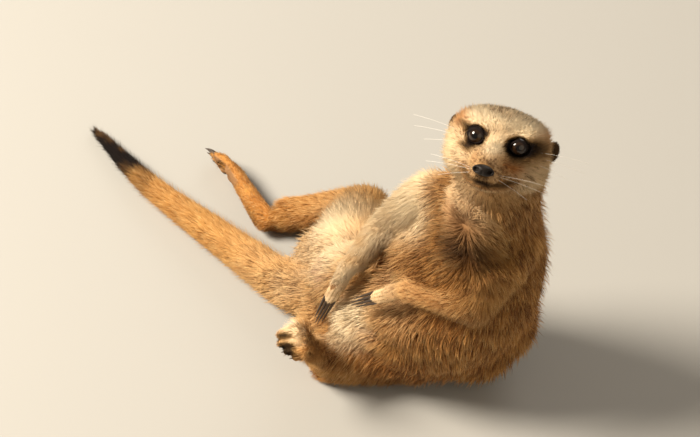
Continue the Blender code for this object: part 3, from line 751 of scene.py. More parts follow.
creases = [  # a line in mm, its width, and how far it's pressed in, or out where that's below 0
    # under the left thigh, then the thigh's ridge
    ([(-22, -22, 47), (-15, -29, 49.5), (-7, -36, 50), (0, -41, 47.5), (4, -41, 38)], 2.8, 4.2),
    ([(-28, -16, 47), (-17.6, -22, 56), (-4.7, -34.6, 61), (7.2, -44, 56)], 4.5, -2.2),
    ([(-46.5, 17.5, 46), (-40.5, 20.5, 48)], 3.4, -2.4),  # the groin
    ([(-46.0, 18.2, 48), (-41.0, 20.2, 50)], 0.9, 1.8),
    ([(-43.8, 8.2, 47), (-40.5, 11.2, 49)], 3.2, -1.8),
    ([(26, -34, 142), (26.5, -37, 128), (28, -42, 112)], 4.5, 1.6),  # down the middle of the chest
]
points, normals = pointsOf(body.data), normalsOf(body.data)
sink = np.zeros(len(points))
for line, wide, deep in creases:
    sink += deep * bell(gapsToLine(points / mm, line), wide)
setPoints(body.data, points - normals * sink[:, None] * mm)
skin = body
skin.name = skin.data.name = "skin"
print("skin", len(skin.data.vertices), len(skin.data.polygons))

# markings: how much of each colour a point of the coat has

headSpots = [  # mark, middle and radii in mm in the head's frame, softness, strength
    ("cream", (0, -12, 10), (26, 26, 14), 0.5, 0.75),
    ("grizzle", (0, -16, 13), (24, 20, 12), 0.6, 0.5),
    ("grizzle", (4, -7, 11), (5, 8, 5), 0.7, 0.8),
    ("grizzle", (5, -2, 6), (4, 6, 3.4), 0.7, 0.85),
    ("cream", (0, 8, -1.5), (5, 13, 5), 0.6, 0.95),
    ("cream", (9, -6, 8.2), (9, 9, 3.2), 0.6, 0.9),
    ("cream", (-9, -6, 8.2), (10, 9, 3.2), 0.6, 0.9),
    ("cream", (17, -8, -11), (12, 16, 10), 0.6, 0.66),
    ("cream", (-17, -8, -13), (10, 16, 9), 0.6, 0.6),
    ("cream", (0, 14, -24), (9, 10, 5), 0.6, 0.4),
    ("rust", (20, -10, 4.5), (4.5, 9, 5), 0.7, 0.85),
    ("rust", (-22, -12, 5), (6, 10, 5), 0.7, 0.6),
    # the sides of the muzzle are partly their own brown, partly painted shade, the left side more than the
    # right
    ("rust", (-11, 7, -8), (5, 9, 5), 0.7, 0.95),
    ("grizzle", (-7, 13, -12), (5, 8, 5), 0.7, 0.8),
    ("rust", (6.5, 14, -9), (2.6, 7, 4), 0.7, 0.4),
    ("grizzle", (0, 22, -7.4), (6, 4, 3), 0.6, 0.95),
    ("dark", (10.6, -2, 0.4), (6.3, 14, 5.2), 0.16, 1.0),
    ("dark", (15.6, -3.4, 2.4), (3.0, 14, 2.2), 0.7, 0.8),
    ("dark", (5.9, 0, 2.6), (2.0, 14, 1.5), 0.3, 0.9),
    ("dark", (12.8, 0.6, -5.6), (3.2, 14, 2.8), 0.5, 0.95),
    ("dark", (11.6, 0.6, -4.4), (2.2, 14, 1.5), 0.35, 0.85),
    ("dark", (-10.8, -1, -0.3), (7.5, 14, 5.7), 0.14, 1.0),
    # the left patch's outer lobe and the dark below it are partly the patch's own black, partly painted shade
    # on the left side of the face
    ("dark", (-15.4, -4, 0.2), (7.4, 14, 4.4), 0.6, 0.9),
    ("dark", (-11.5, 0, -5.6), (5.0, 14, 2.6), 0.6, 0.75),
    ("dark", (26.6, -24.9, -1.2), (4.4, 5.8, 6.4), 0.35, 0.94),
    ("dark", (-26.6, -24.9, -1.2), (4.4, 5.8, 6.4), 0.35, 0.94),
    ("dark", (0, 26.0, -11.4), (6.4, 4.2, 3.8), 0.35, 0.95),
    # the dark upper lip is partly its own dark colour, partly painted shade under the nose
    ("dark", (0, 20.5, -17.4), (6.4, 6, 2.2), 0.5, 0.8),
]
bodySpots = [  # mark, middle and radii in mm, softness, strength
    # these two dark spots at the chest's parting are partly the coat's own dark parting, partly painted shade
    # in the chest's crease
    ("dark", (31, -34, 130), (16, 14, 18), 0.9, 0.6),
    ("dark", (29.5, -34, 133), (6, 14, 17), 0.9, 0.85),
    ("cream", (30, -26, 152), (12, 14, 18), 0.7, 0.7),
    # painted shade around the chest's parting, partly its own rust
    ("rust", (26.5, -30, 125), (14, 16, 26), 0.8, 0.7),
    ("cream", (-39, 56, 38), (19, 27, 18), 0.9, 0.95),
    ("cream", (-36, 24, 50), (19, 17, 14), 0.6, 0.9),
    ("cream", (-23, -17, 48), (22, 13, 14), 0.6, 1.0),
    ("cream", (-26, -20, 35), (24, 7, 6), 0.6, 0.7),
    # painted shade: rust and grizzle darken the bottom of the body over the left shank
    ("rust", (2, -36, 24), (36, 16, 24), 0.8, 0.9),
    ("grizzle", (0, -38, 20), (34, 16, 20), 0.8, 0.6),
    ("cream", (0, -20, 74), (16, 20, 16), 0.8, 0.45),
    # painted shade in the fold under the left thigh
    ("dark", (-9.8, -33.7, 50), (12, 4.5, 4), 0.8, 0.6),
    ("bare", (-43.2, 18.7, 47), (5.2, 4.5, 5), 0.4, 0.95),
    ("bare", (-41.8, 9.6, 47.5), (3.8, 3.6, 4), 0.5, 0.8),
    ("dark", (-43.4, 19.2, 48), (3.4, 1.2, 3), 0.5, 0.8),
    # the right shoulder's cream is partly its own pale colour, partly painted light
    ("cream", (10, 3, 114), (18, 18, 20), 0.7, 0.9),
    ("dark", (-73.9, 73.8, 15.4), (1.6, 1.6, 2.5), 0.4, 0.9),
    ("cream", (-55, -31, 58), (10, 7, 6), 0.4, 0.85),  # the left foot's toes, their tops partly their own cream, partly painted light, then dark between and below them, partly the dark pads, partly painted shade in the gaps
    ("cream", (-54, -37.6, 54.5), (7, 3.6, 4.5), 0.4, 0.7),
    ("dark", (-61, -35.5, 54), (5, 2.0, 3.4), 0.4, 0.92),
    ("dark", (-60.5, -41, 51), (5, 3.4, 4), 0.4, 0.95),
    ("dark", (-57, -45.5, 47), (6, 2.6, 4), 0.5, 0.8),
]
markKinds = ["cream", "rust", "grizzle", "dark", "bare"]


def lattice(points, size, seed):
    # smooth noise: random vectors at the corners of a grid of cubes, blended across each cube
    cell = points / size
    base = np.floor(cell).astype(np.int64)
    t = cell - base
    t = t * t * (3 - 2 * t)
    total = np.zeros((len(points), 3))
    for corner in range(8):
        step = np.array([corner & 1, corner >> 1 & 1, corner >> 2 & 1])
        key = ((base + step) * np.array([73856093, 19349663, 83492791])).sum(1) + seed * 7919
        weight = np.prod(np.where(step, t, 1 - t), axis=1)
        hashed = np.stack([np.sin(key * k) * 43758.5453 for k in (0.1031, 0.2137, 0.3571)], axis=1)
        total += weight[:, None] * ((hashed - np.floor(hashed)) * 2 - 1)
    return total


def spot(local, centre, radii, softness):
    # 1 inside an ellipsoid, falling to 0 across its edge
    away = np.sqrt((((local - centre) / radii) ** 2).sum(1))
    return 1 - smoothStep(1 - softness, 1 + softness, away)


def marksAt(points, normals):
    # a row of cream, rust, grizzle, dark and bare for each point
    marks = boneShares(points, 0.3) @ np.column_stack([boneValues[:, 5:9], np.zeros(len(boneValues))])
    inner = inHead(points)
    # painted shade: surfaces that face down get more rust and less cream
    paintedUnderShade = smoothStep(0.1, 0.8, -normals[:, 2]) * (1 - inner)
    marks[:, 1] += 0.45 * paintedUnderShade
    marks[:, 0] *= 1 - 0.6 * paintedUnderShade
    marks *= 1 + 0.5 * lattice(points, 7 * mm, 11)[:, :1]
    local = toHead(points)
    for mark, centre, radii, softness, strength in headSpots:
        lay(marks, mark, spot(local, centre, radii, softness) * inner * strength)
    near = gapsToLine(local, mouthLine)
    # the rust along the mouth is partly its own colour, partly painted shade
    lay(marks, "rust", bell(near, 3.2) * inner)
    lay(marks, "dark", np.exp(-((near / 1.9) ** 4)) * inner)
    for mark, centre, radii, softness, strength in bodySpots:
        lay(marks, mark, spot(points / mm, centre, radii, softness) * strength)
    for name in pawPlans:
        sole, gaps = pawPlaces(name, points)
        # painted shade: the gaps between the digits are darkened
        lay(marks, "dark", gaps * 0.85)
        lay(marks, "bare", sole * 0.9)
        lay(marks, "dark", sole * 0.55)
    return np.clip(marks, 0, 1)


def pawPlaces(name, points):
    # for each point: 1 on the paw's sole, and 1 in the gaps between its digits, which get painted shade
    plan = pawPlans[name][0]
    radius, curl = plan["digits"][0][4:]
    reach = plan["digits"][1][1]  # the middle knuckles
    local = toLocal(pawFrame(name), points) / mm
    x, y, z = local.T
    inside = (np.abs(x) < 12) & (y > -4) & (y < 66) & (np.abs(z) < 12)
    axes = [digit[0] + math.tan(math.radians(digit[3])) * (y - digit[1]) for digit in plan["digits"]]
    away = np.abs(np.stack(axes) - x).min(0) / radius
    height = z + math.tan(math.radians(curl)) * np.maximum(y - reach, 0)
    amid = (np.abs(x) < 4.8) & (y > reach - 2) & inside
    gaps = smoothStep(0.35, 0.62, away) * amid * (np.abs(height) < 3.2)
    below = (height > -plan["palm"][0][2] - 0.5) & inside & (y > reach - 14)
    return smoothStep(1.0, 2.2, -height) * below, gaps


def lay(marks, mark, amount):
    # a dark, cream or bare spot covers what lies under it, the others add to it
    k = markKinds.index(mark)
    if mark in ("dark", "cream", "bare"):
        marks *= 1 - amount[:, None]
        marks[:, k] += amount
    else:
        marks[:, k] = np.maximum(marks[:, k], amount)


def setAttribute(mesh, name, values):
    # on the points: one number each, or a float colour of three columns
    kind, field = ("FLOAT", "value") if values.ndim == 1 else ("FLOAT_COLOR", "color")
    if values.ndim == 2:
        values = np.column_stack([values, np.ones(len(values))])
    mesh.attributes.new(name, kind, "POINT").data.foreach_set(field, values.astype(np.float32).ravel())


def setMarks(mesh, marks, tone):
    setAttribute(mesh, "marksA", marks[:, :3])
    setAttribute(mesh, "marksB", np.column_stack([marks[:, 3:], tone]))


# finishes


def setSockets(node, values):
    for name, value in values.items():
        node.inputs[name].default_value = value


def newFinish(name, values):
    # a material, its node tree, and its shader with those values
    made = bpy.data.materials.new(name)
    made.use_nodes = True
    shader = made.node_tree.nodes["Principled BSDF"]
    setSockets(shader, values)
    return made, made.node_tree, shader


def addTexture(tree, kind, values):
    # a texture laid on by the piece's own coordinates
    made = tree.nodes.new(kind)
    setSockets(made, values)
    place = tree.nodes.new("ShaderNodeTexCoord")
    tree.links.new(place.outputs["Object"], made.inputs["Vector"])
    return made


def addBump(tree, shader, height, values):
    bump = tree.nodes.new("ShaderNodeBump")
    setSockets(bump, values)
    tree.links.new(height, bump.inputs["Height"])
    tree.links.new(bump.outputs["Normal"], shader.inputs["Normal"])


# the coat's finish: the same node tree on skin and tufts

coatColours = {  # red, green, blue
    "tan": (0.80, 0.40, 0.095),
    "cream": (0.93, 0.76, 0.51),
    "rust": (0.48, 0.155, 0.022),
    "grizzle": (0.055, 0.024, 0.009),
    "root": (0.17, 0.058, 0.011),
    "dark": (0.010, 0.006, 0.005),
    "bare": (0.42, 0.25, 0.20),
    "tip": (0.98, 0.74, 0.36),
}


coatTones = {  # how strongly each tone shows
    "speckles": {"Scale": 900, "Detail": 2},
    "band": (0.35, 0.82, 0.75, 0.85),  # from and to along the tuft, share of the grizzled tufts, strength
    "tip": 0.8,
    "creamKeeps": 0.62,  # how much less of the darker tones there is where the coat is cream
    "root": 0.34,
    "odd": (0.85, 0.38),  # the tufts below that tone are darker all along, and by how much
    "skinGrizzle": 0.6,
    "skinCreamKeeps": 0.7,
    "skinRoot": 0.35,
    "bump": {"Strength": 0.5, "Distance": 0.0006},
}


def coatFinish(name, onTufts):
    made, tree, shader = newFinish(name, {"Roughness": 0.65 if onTufts else 0.8, "Specular IOR Level": 0.12})

    def feed(socket, value):
        if isinstance(value, bpy.types.NodeSocket):
            tree.links.new(value, socket)
        else:
            socket.default_value = value

    def add(kind, **settings):
        node = tree.nodes.new(kind)
        for key, value in settings.items():
            setattr(node, key, value)
        return node

    def mix(share, first, second):
        node = add("ShaderNodeMix", data_type="RGBA")
        for socket, value in ((node.inputs["Factor"], share), (node.inputs[6], first)):
            feed(socket, value)
        feed(node.inputs[7], (*coatColours[second], 1))
        return node.outputs[2]

    def calculate(operation, *values):
        node = add("ShaderNodeMath", operation=operation, use_clamp=True)
        for socket, value in zip(node.inputs, values):
            feed(socket, value)
        return node.outputs[0]

    def times(first, *others):
        for other in others:
            first = calculate("MULTIPLY", first, other)
        return first

    def channels(attribute):
        source = add("ShaderNodeAttribute", attribute_name=attribute)
        split = add("ShaderNodeSeparateColor")
        tree.links.new(source.outputs["Color"], split.inputs["Color"])
        return split.outputs

    cream, rust, grizzle = channels("marksA")
    dark, bare, tone = channels("marksB")
    colour = mix(cream, (*coatColours["tan"], 1), "cream")
    colour = mix(rust, colour, "rust")
    if onTufts:
        along = add("ShaderNodeAttribute", attribute_name="along").outputs["Fac"]
        # a dark band round the upper half of some tufts, the more of them the more the place is grizzled
        start, end, share, strength = coatTones["band"]
        band = times(calculate("GREATER_THAN", along, start), calculate("LESS_THAN", along, end))
        someOf = calculate("LESS_THAN", tone, times(grizzle, share))
        colour = mix(times(band, someOf, strength), colour, "grizzle")
        darker = calculate("SUBTRACT", 1.0, times(cream, coatTones["creamKeeps"]))
        colour = mix(times(along, along, times(tone, coatTones["tip"]), darker), colour, "tip")
        deep = times(calculate("ADD", coatTones["root"], grizzle), darker)
        colour = mix(times(calculate("SUBTRACT", 1.0, along), deep), colour, "root")
        most, least = coatTones["odd"]
        odd = times(calculate("SUBTRACT", most, tone), calculate("ADD", least, grizzle), darker)
        colour = mix(odd, colour, "root")
    else:
        speckle = addTexture(tree, "ShaderNodeTexNoise", coatTones["speckles"]).outputs["Fac"]
        colour = mix(times(grizzle, coatTones["skinGrizzle"]), colour, "grizzle")
        darker = calculate("SUBTRACT", 1.0, times(cream, coatTones["skinCreamKeeps"]))
        deep = times(calculate("ADD", coatTones["skinRoot"], grizzle), darker)
        colour = mix(times(speckle, deep), colour, "root")
        addBump(tree, shader, speckle, coatTones["bump"])
    colour = mix(bare, colour, "bare")
    colour = mix(dark, colour, "dark")
    tree.links.new(colour, shader.inputs["Base Color"])
    return made


tuftFinish = coatFinish("coat", True)
skin.data.materials.clear()
skin.data.polygons.foreach_set("material_index", np.zeros(len(skin.data.polygons), np.int32))
finishPiece(skin, coatFinish("skin", False), "golden_fur", *fleshNodes, "ear_left", "ear_right")
marks = marksAt(pointsOf(skin.data), normalsOf(skin.data))
setMarks(skin.data, marks, np.full(len(skin.data.vertices), 0.3))
print("markings")

# the lie of the coat: back from the nose, down the spine and out along each limb


combed = [  # middle and radii in mm, and the way the coat lies there
    ((-14, -24, 24), (36, 18, 22), (-0.55, -0.2, -0.8)),  # down and back over the left shank
    ((-18, -12, 54), (20, 12, 10), (-0.8, 0.1, -0.5)),
    ((12, -42, 56), (26, 16, 16), (0.1, -0.2, -1.0)),
    ((-50, -28, 38), (15, 15, 15), (-0.75, -0.2, -0.25)),  # over the left foot
]
seamLine = np.array([(28, -34, 140), (30, -39, 118)]) * mm  # where the coat parts on the chest
flowPlan = {
    "seamWide": 24,  # mm
    "seamPull": 1.1,
    "weight": 0.22,  # how much the coat's own weight draws it down
}


def flowAt(points):
    # along the bones, or away from the nose in the head, away from the seam, then down a little, then as combed
    within = inHead(points)[:, None]
    flow = boneShares(points, 0.3) @ units(boneEnds - boneStarts) * (1 - within)
    flow = flow + units(points - joint["noseTip"]) * within
    fromSeam = offRun(points, *seamLine)
    pull = bell(lengths(fromSeam)[:, None], flowPlan["seamWide"] * mm) * (1 - within)
    flow = flow * (1 - 0.8 * pull) + units(fromSeam) * pull * flowPlan["seamPull"]
    flow[:, 2] -= flowPlan["weight"] * (1 - within[:, 0])
    for middle, radii, way in combed:
        share = spot(points / mm, middle, radii, 0.5)[:, None]
        flow = flow * (1 - share) + np.array(way) * share
    return flow


# tufts

tuftPlan = {
    "tilt": 8.0,  # degrees, how far one tuft strays from its neighbours' lie
    "waver": 0.20,  # how much the lie wanders over a few centimetres
    "stray": 0.10,  # share of the tufts that stand out of the coat
    "strayLift": 26,  # degrees more
    "clump": 10,  # tufts that draw together into one lock
    "draw": 0.62,  # how far a tuft's tip goes to its lock's
    "drawReach": 4.0,  # mm
    "middle": (0.52, 1.25),  # how far along the bend of a tuft is, and how much it's lifted; then its tip
    "tip": (1, 0.92),
    "bendWidth": 0.8,  # over the root's
    "thick": 0.55,  # over the width
    "sunk": 0.35,  # mm that the root is below the skin
    "floorGap": (0.3, 0.25),  # mm, of the bend and of the tip
    "most": 194000,  # triangles in one piece
    "patch": 0.0014,  # of the map
}
tuftShapes = {  # triangles, how far along each corner is, and where it is in the tuft's patch of the map
    "short": ([(0, 1, 3), (1, 2, 3), (2, 0, 3), (0, 2, 1)],
              [0, 0, 0, 1], [(-1, -1), (0, -1.15), (1, -1), (0, 1)]),
    "long": ([(0, 1, 4), (0, 4, 3), (1, 2, 5), (1, 5, 4), (2, 0, 3),
              (2, 3, 5), (3, 4, 6), (4, 5, 6), (5, 3, 6), (0, 2, 1)],
             [0, 0, 0, 0.5, 0.5, 0.5, 1],
             [(-1, -1), (0, -1.15), (1, -1), (-1, 0), (0, 0.1), (1, 0), (0, 1)]),
}
skinMesh = skin.data
skinMesh.calc_loop_triangles()
corners = valuesOf(skinMesh.loop_triangles, "vertices", np.int64)
skinPoints, skinNormals = pointsOf(skinMesh), normalsOf(skinMesh)
a, b, c = (skinPoints[corners[:, k]] for k in range(3))
faceAreas = lengths(np.cross(b - a, c - a)) / 2
faceMiddles = (a + b + c) / 3
faceShares = boneShares(faceMiddles, 0.2)
faceDense = faceShares @ boneValues[:, coatKinds.index("dense")]
faceBones = faceShares.argmax(1)
onFloor = (faceMiddles[:, 2] < 1.2 * mm) & (skinNormals[corners[:, 0], 2] < -0.7)
faceDense[onFloor] *= 0.3
inFace = toHead(faceMiddles)
wide, high = np.array(eyePlan["opening"]) + 0.75
for side in (-1, 1):
    turn, middle = eyeFrame(side)
    seen = (inFace - middle) @ turn
    faceDense[(np.hypot(seen[:, 0] / wide, seen[:, 2] / high) < 1) & (seen[:, 1] > 0)] = 0
faceDense[lengths((inFace - nosePlan["middle"]) / [5.4, 4.2, 2.9]) < 1] = 0
faceDense[gapsToLine(inFace, mouthLine) < 0.6] = 0
bareness = np.empty(len(skinPoints) * 4, np.float32)
skinMesh.attributes["marksB"].data.foreach_get("color", bareness)
faceDense *= 1 - bareness.reshape(-1, 4)[corners, 1].mean(1)
for name in pawPlans:
    faceDense *= 1 - pawPlaces(name, faceMiddles)[0]
clawLines = [clawEnds(name) for name in ("hand_left", "hand_right")]
clawStarts, clawTips = (np.concatenate([ends[k] for ends in clawLines]) for k in (0, 1))


def lengthOf(points):
    # the coat's length over its bone's: short at the nose, eyes and ears, and where a hand lies on it
    local = toHead(points)
    mirrored = np.abs(local) * [1, 0, 0] + local * [0, 1, 1]
    scale = 1 - 0.5 * smoothStep(-6, 14, local[:, 1])
    scale *= 1 + 0.7 * spot(np.abs(local), (22, 14, 12), (9, 18, 14), 0.8) * (local[:, 1] < 2)  # the ruff
    scale *= 1 - 0.75 * spot(mirrored, (25.5, -22.5, 0), (6.5, 10.5, 9.5), 0.3)  # the ears
    scale *= 1 - 0.45 * spot(mirrored, (eyeX, eyeY + 4, eyeZ), (9, 14, 8), 0.4)  # the lids
    scale *= 1 - 0.1 * smoothStep(0, 10, local[:, 2])  # the crown
    scale = 1 + (scale - 1) * inHead(points)
    for name in ("heel_left", "heel_right"):
        scale = scale * (0.5 + 0.5 * smoothStep(6 * mm, 18 * mm, lengths(points - joint[name])))
    claws = [np.array(line) / mm for line in zip(clawStarts, clawTips)]
    near = np.min([gapsToLine(points / mm, line) for line in claws], axis=0)
    return scale * (0.5 + 0.5 * smoothStep(2.5, 9, near))


def sow(faces):
    # roots spread over those faces, as many as their area and density ask for
    wanted = faceAreas[faces] / mm**2 * faceDense[faces]
    count = int(wanted.sum())
    edges = np.cumsum(wanted) / wanted.sum()
    chosen = faces[np.searchsorted(edges, (np.arange(count) + dice.random(count)) / count)]
    u, v = dice.random((2, count))
    u, v = np.where(u + v > 1, 1 - u, u)[:, None], np.where(u + v > 1, 1 - v, v)[:, None]
    ends = corners[chosen]
    weights = (1 - u - v, u, v)
    roots = sum(w * skinPoints[ends[:, k]] for k, w in enumerate(weights))
    normals = sum(w * skinNormals[ends[:, k]] for k, w in enumerate(weights))
    return roots, units(normals)


def tangent(flow, normals):
    # the flow without its part along the normal, of length one
    flow = flow - (flow * normals).sum(1, keepdims=True) * normals
    return flow / np.maximum(lengths(flow)[:, None], 1e-9)


def growCoat(name, slotName, faces, kind):
    # each tuft: a thin three-sided blade from its root, up and over along the flow to a point at its tip,
    # without the bend where the coat is short
    roots, normals = sow(faces)
    count = len(roots)
    long, wide, lift = (boneShares(roots, 0.2) @ boneValues[:, :5]).T[1:4]
    flow = tangent(flowAt(roots) + tuftPlan["waver"] * lattice(roots, 24 * mm, 5), normals)
    stray = np.radians(dice.normal(0, tuftPlan["tilt"], count))[:, None]
    flow = flow * np.cos(stray) + np.cross(flow, normals) * np.sin(stray)
    sideways = np.cross(flow, normals)
    scale = lengthOf(roots)
    reach = (long * scale * mm * dice.uniform(0.72, 1.18, count))[:, None]
    half = (wide * mm * dice.uniform(0.7, 1.2, count) / 2)[:, None]
    stands = (dice.random(count) < tuftPlan["stray"]) * dice.uniform(0.5, 1, count)
    stands = stands * smoothStep(0.5, 0.8, scale)
    rise = np.radians(lift * dice.uniform(0.7, 1.35, count) + tuftPlan["strayLift"] * stands)[:, None]

    def alongTuft(share, lifted):
        return roots + share * reach * (flow * np.cos(rise) + normals * np.sin(rise) * lifted)

    middles, tips = alongTuft(*tuftPlan["middle"]), alongTuft(*tuftPlan["tip"])
    lockCount = max(1, int(count / tuftPlan["clump"]))
    locks = KDTree(lockCount)
    for lock in dice.choice(count, lockCount, replace=False):
        locks.insert(tips[lock], int(lock))
    locks.balance()
    nearest = np.array([locks.find(tip)[1] for tip in tips])
    toLock = tips[nearest] - tips
    draw = tuftPlan["draw"] * (0.65 if kind == "short" else 1) * (1 - stands)[:, None]
    draw = draw * np.exp(-lengths(toLock) / (tuftPlan["drawReach"] * mm))[:, None]
    middles, tips = middles + toLock * draw * 0.3, tips + toLock * draw
    for ends, gap in zip((middles, tips), tuftPlan["floorGap"]):
        ends[:, 2] = np.maximum(ends[:, 2], gap * mm)
    roots = roots - normals * tuftPlan["sunk"] * mm
    thick = half * tuftPlan["thick"]

    def ring(place, share=1):
        return [place + way * share for way in (-sideways * half, normals * thick, sideways * half)]

    bend = [] if kind == "short" else ring(middles, tuftPlan["bendWidth"])
    points = np.stack(ring(roots) + bend + [tips], axis=1)
    each = points.shape[1]
    pattern, heights, patch = (np.array(values, float) for values in tuftShapes[kind])
    triangles = (np.arange(count)[:, None, None] * each + pattern.astype(int)).reshape(-1, 3)
    mesh = bpy.data.meshes.new(name)
    mesh.vertices.add(count * each)
    mesh.vertices.foreach_set("co", points.ravel())
    mesh.loops.add(len(triangles) * 3)
    mesh.loops.foreach_set("vertex_index", triangles.ravel())
    mesh.polygons.add(len(triangles))
    mesh.polygons.foreach_set("loop_start", np.arange(len(triangles)) * 3)
    mesh.update(calc_edges=True)
    single = dice.random(count)
    setMarks(mesh, np.repeat(marksAt(roots, normals), each, axis=0),
             np.repeat(0.45 * single + 0.55 * single[nearest], each))
    setAttribute(mesh, "along", np.tile(heights, count))
    bakeMap(mesh, roots, faces, (patch * tuftPlan["patch"])[pattern.astype(int).ravel()])
    finishPiece(linked(name, mesh), tuftFinish, slotName)
    return count


def bakeMap(mesh, roots, faces, patch):
    # each tuft's patch at its root's place on an unwrap of the skin round the bone it is on
    bone = np.bincount(faceBones[faces]).argmax()
    axis = units(boneEnds[bone] - boneStarts[bone])
    one = tangent(np.array([[0.3, 0.2, 1.0]]), axis[None])[0]
    out = roots - boneStarts[bone]
    u = np.arctan2(out @ np.cross(axis, one), out @ one) / (2 * math.pi) + 0.5
    v = out @ axis
    v = (v - v.min()) / (v.max() - v.min() + 1e-9)
    middle = 0.02 + 0.96 * np.column_stack([u, v])
    layer = mesh.uv_layers.new(name="OFBake")
    layer.uv.foreach_set("vector", (middle[:, None] + patch).astype(np.float32).ravel())


coatGroups = {  # piece: the bones it covers, its slot and its tufts
    "coatHead": (["head"], "face_fur", "short"),
    "coatNeck": (["neck"], "golden_fur", "long"),
    "coatChest": (["chest"], "grizzled_fur", "long"),
    "coatAbdomen": (["abdomen"], "grizzled_fur", "long"),
    "coatPelvis": (["pelvis"], "golden_fur", "long"),
    "coatTail": (["tailA", "tailB", "tailC"], "tail_fur", "short"),
}
limbGroups = {"coatLeg": ["thigh", "shank"], "coatFoot": ["foot"], "coatArm": ["upperArm", "forearm"],
              "coatHand": ["hand"]}
for side in ("left", "right"):
    for name, bones in limbGroups.items():
        coatGroups[f"{name}_{side}"] = ([f"{bone}_{side}" for bone in bones], "golden_fur", "short")
total = 0
for name, (bones, slotName, kind) in coatGroups.items():
    # the group's faces in pieces of about the same number of tufts, from left to right
    each = len(tuftShapes[kind][0])
    faces = np.flatnonzero(np.isin(faceBones, [boneNames.index(bone) for bone in bones]))
    wanted = (faceAreas[faces] / mm**2 * faceDense[faces]).sum() * each
    lots = max(1, math.ceil(wanted / tuftPlan["most"]))
    order = np.argsort(faceMiddles[faces, 0], kind="stable")
    share = np.cumsum((faceAreas[faces] * faceDense[faces])[order])
    lot = np.minimum((share / share[-1] * lots).astype(int), lots - 1)
    for k in range(lots):
        grown = growCoat(name if lots == 1 else f"{name}_{k + 1}", slotName, faces[order][lot == k], kind)
        total += grown * each
        print(name, k + 1, grown)
print("coat triangles", total)

# eyes, nose, claws and whiskers

pieceFinishes = {
    "eye": {"Roughness": 0.04, "Coat Weight": 0.6, "Coat Roughness": 0.02, "Specular IOR Level": 0.2},
    "nose": {"Base Color": (0.012, 0.008, 0.006, 1), "Roughness": 0.44, "Specular IOR Level": 0.2},
    "horn": {"Base Color": (0.045, 0.028, 0.018, 1), "Roughness": 0.34},
    "whisker": {"Base Color": (0.92, 0.88, 0.80, 1), "Roughness": 0.4},
}
irisColours = [  # how far from the middle of the eye, and the colour from there outwards
    (0.26, (0.003, 0.002, 0.002, 1)),
    (0.30, (0.016, 0.008, 0.004, 1)),
    (0.50, (0.024, 0.011, 0.005, 1)),
    (0.62, (0.006, 0.004, 0.003, 1)),
    (0.72, (0.003, 0.002, 0.002, 1)),
]
eyeFinish, tree, shader = newFinish("eye", pieceFinishes["eye"])
ringed = tree.nodes.new("ShaderNodeAttribute")
ringed.attribute_name = "ring"
ramp = tree.nodes.new("ShaderNodeValToRGB")
stops = ramp.color_ramp.elements
for k, (place, colour) in enumerate(irisColours):
    stop = stops[k] if k < 2 else stops.new(place)
    stop.position, stop.color = place, colour
tree.links.new(ringed.outputs["Fac"], ramp.inputs["Fac"])
tree.links.new(ramp.outputs["Color"], shader.inputs["Base Color"])
for side, sideName in ((-1, "left"), (1, "right")):
    # a sphere: sines and cosines of the angle off its forward axis and round it, fuller in front
    turn, middle = eyeFrame(side)
    off = np.linspace(0.01, math.pi - 0.01, 40)[:, None]
    about = fullTurn(56)[None]
    size = eyePlan["radius"] - 0.12 + 0.3 * bell(off, 0.5)
    forward = np.cos(off) * np.ones_like(about)
    unit = np.stack([np.sin(off) * np.cos(about), forward, np.sin(off) * np.sin(about)], axis=-1)
    points = (unit * size[..., None]).reshape(-1, 3) @ turn.T + middle
    made = meshObject("eyeBall_" + sideName, [(fromHead(points), gridFaces(40, 56))])
    seen = toHead(pointsOf(made.data)) @ turn - middle @ turn
    away = np.hypot(seen[:, 0], seen[:, 2]) / eyePlan["radius"]
    setAttribute(made.data, "ring", np.where(seen[:, 1] > 0, away, 1))
    finishPiece(made, eyeFinish, "eye", "eye_" + sideName)

points, faces = ball(np.zeros(3), nosePlan["radii"], rows=60, columns=80)
points[:, 0] *= 1 - 0.10 * points[:, 2] / nosePlan["radii"][2]  # wider below
ahead = smoothStep(-0.5, 1.5, points[:, 1])
x, up, wide, deep = nosePlan["nostril"]
for side in (-1, 1):
    for k in (0, 0.5, 1):  # a hole drawn out into a slit towards the side
        away = np.hypot(points[:, 0] - side * (x + 1.3 * k), points[:, 2] - up - 0.35 * k)
        points[:, 1] -= deep * (0.55 - 0.25 * k) * bell(away, wide - 0.35 * k) * ahead
points[:, 1] -= 0.7 * bell(points[:, 0], 0.45) * smoothStep(0.8, -1, points[:, 2]) * ahead
points = points + nosePlan["middle"]
nosePad = meshObject("nosePad", [(fromHead(points), faces)])
noseFinish, tree, shader = newFinish("nose", pieceFinishes["nose"])
grain = addTexture(tree, "ShaderNodeTexVoronoi", {"Scale": 2600})
addBump(tree, shader, grain.outputs["Distance"], {"Strength": 0.35, "Distance": 0.0002})
finishPiece(nosePad, noseFinish, "black_skin", "nose")

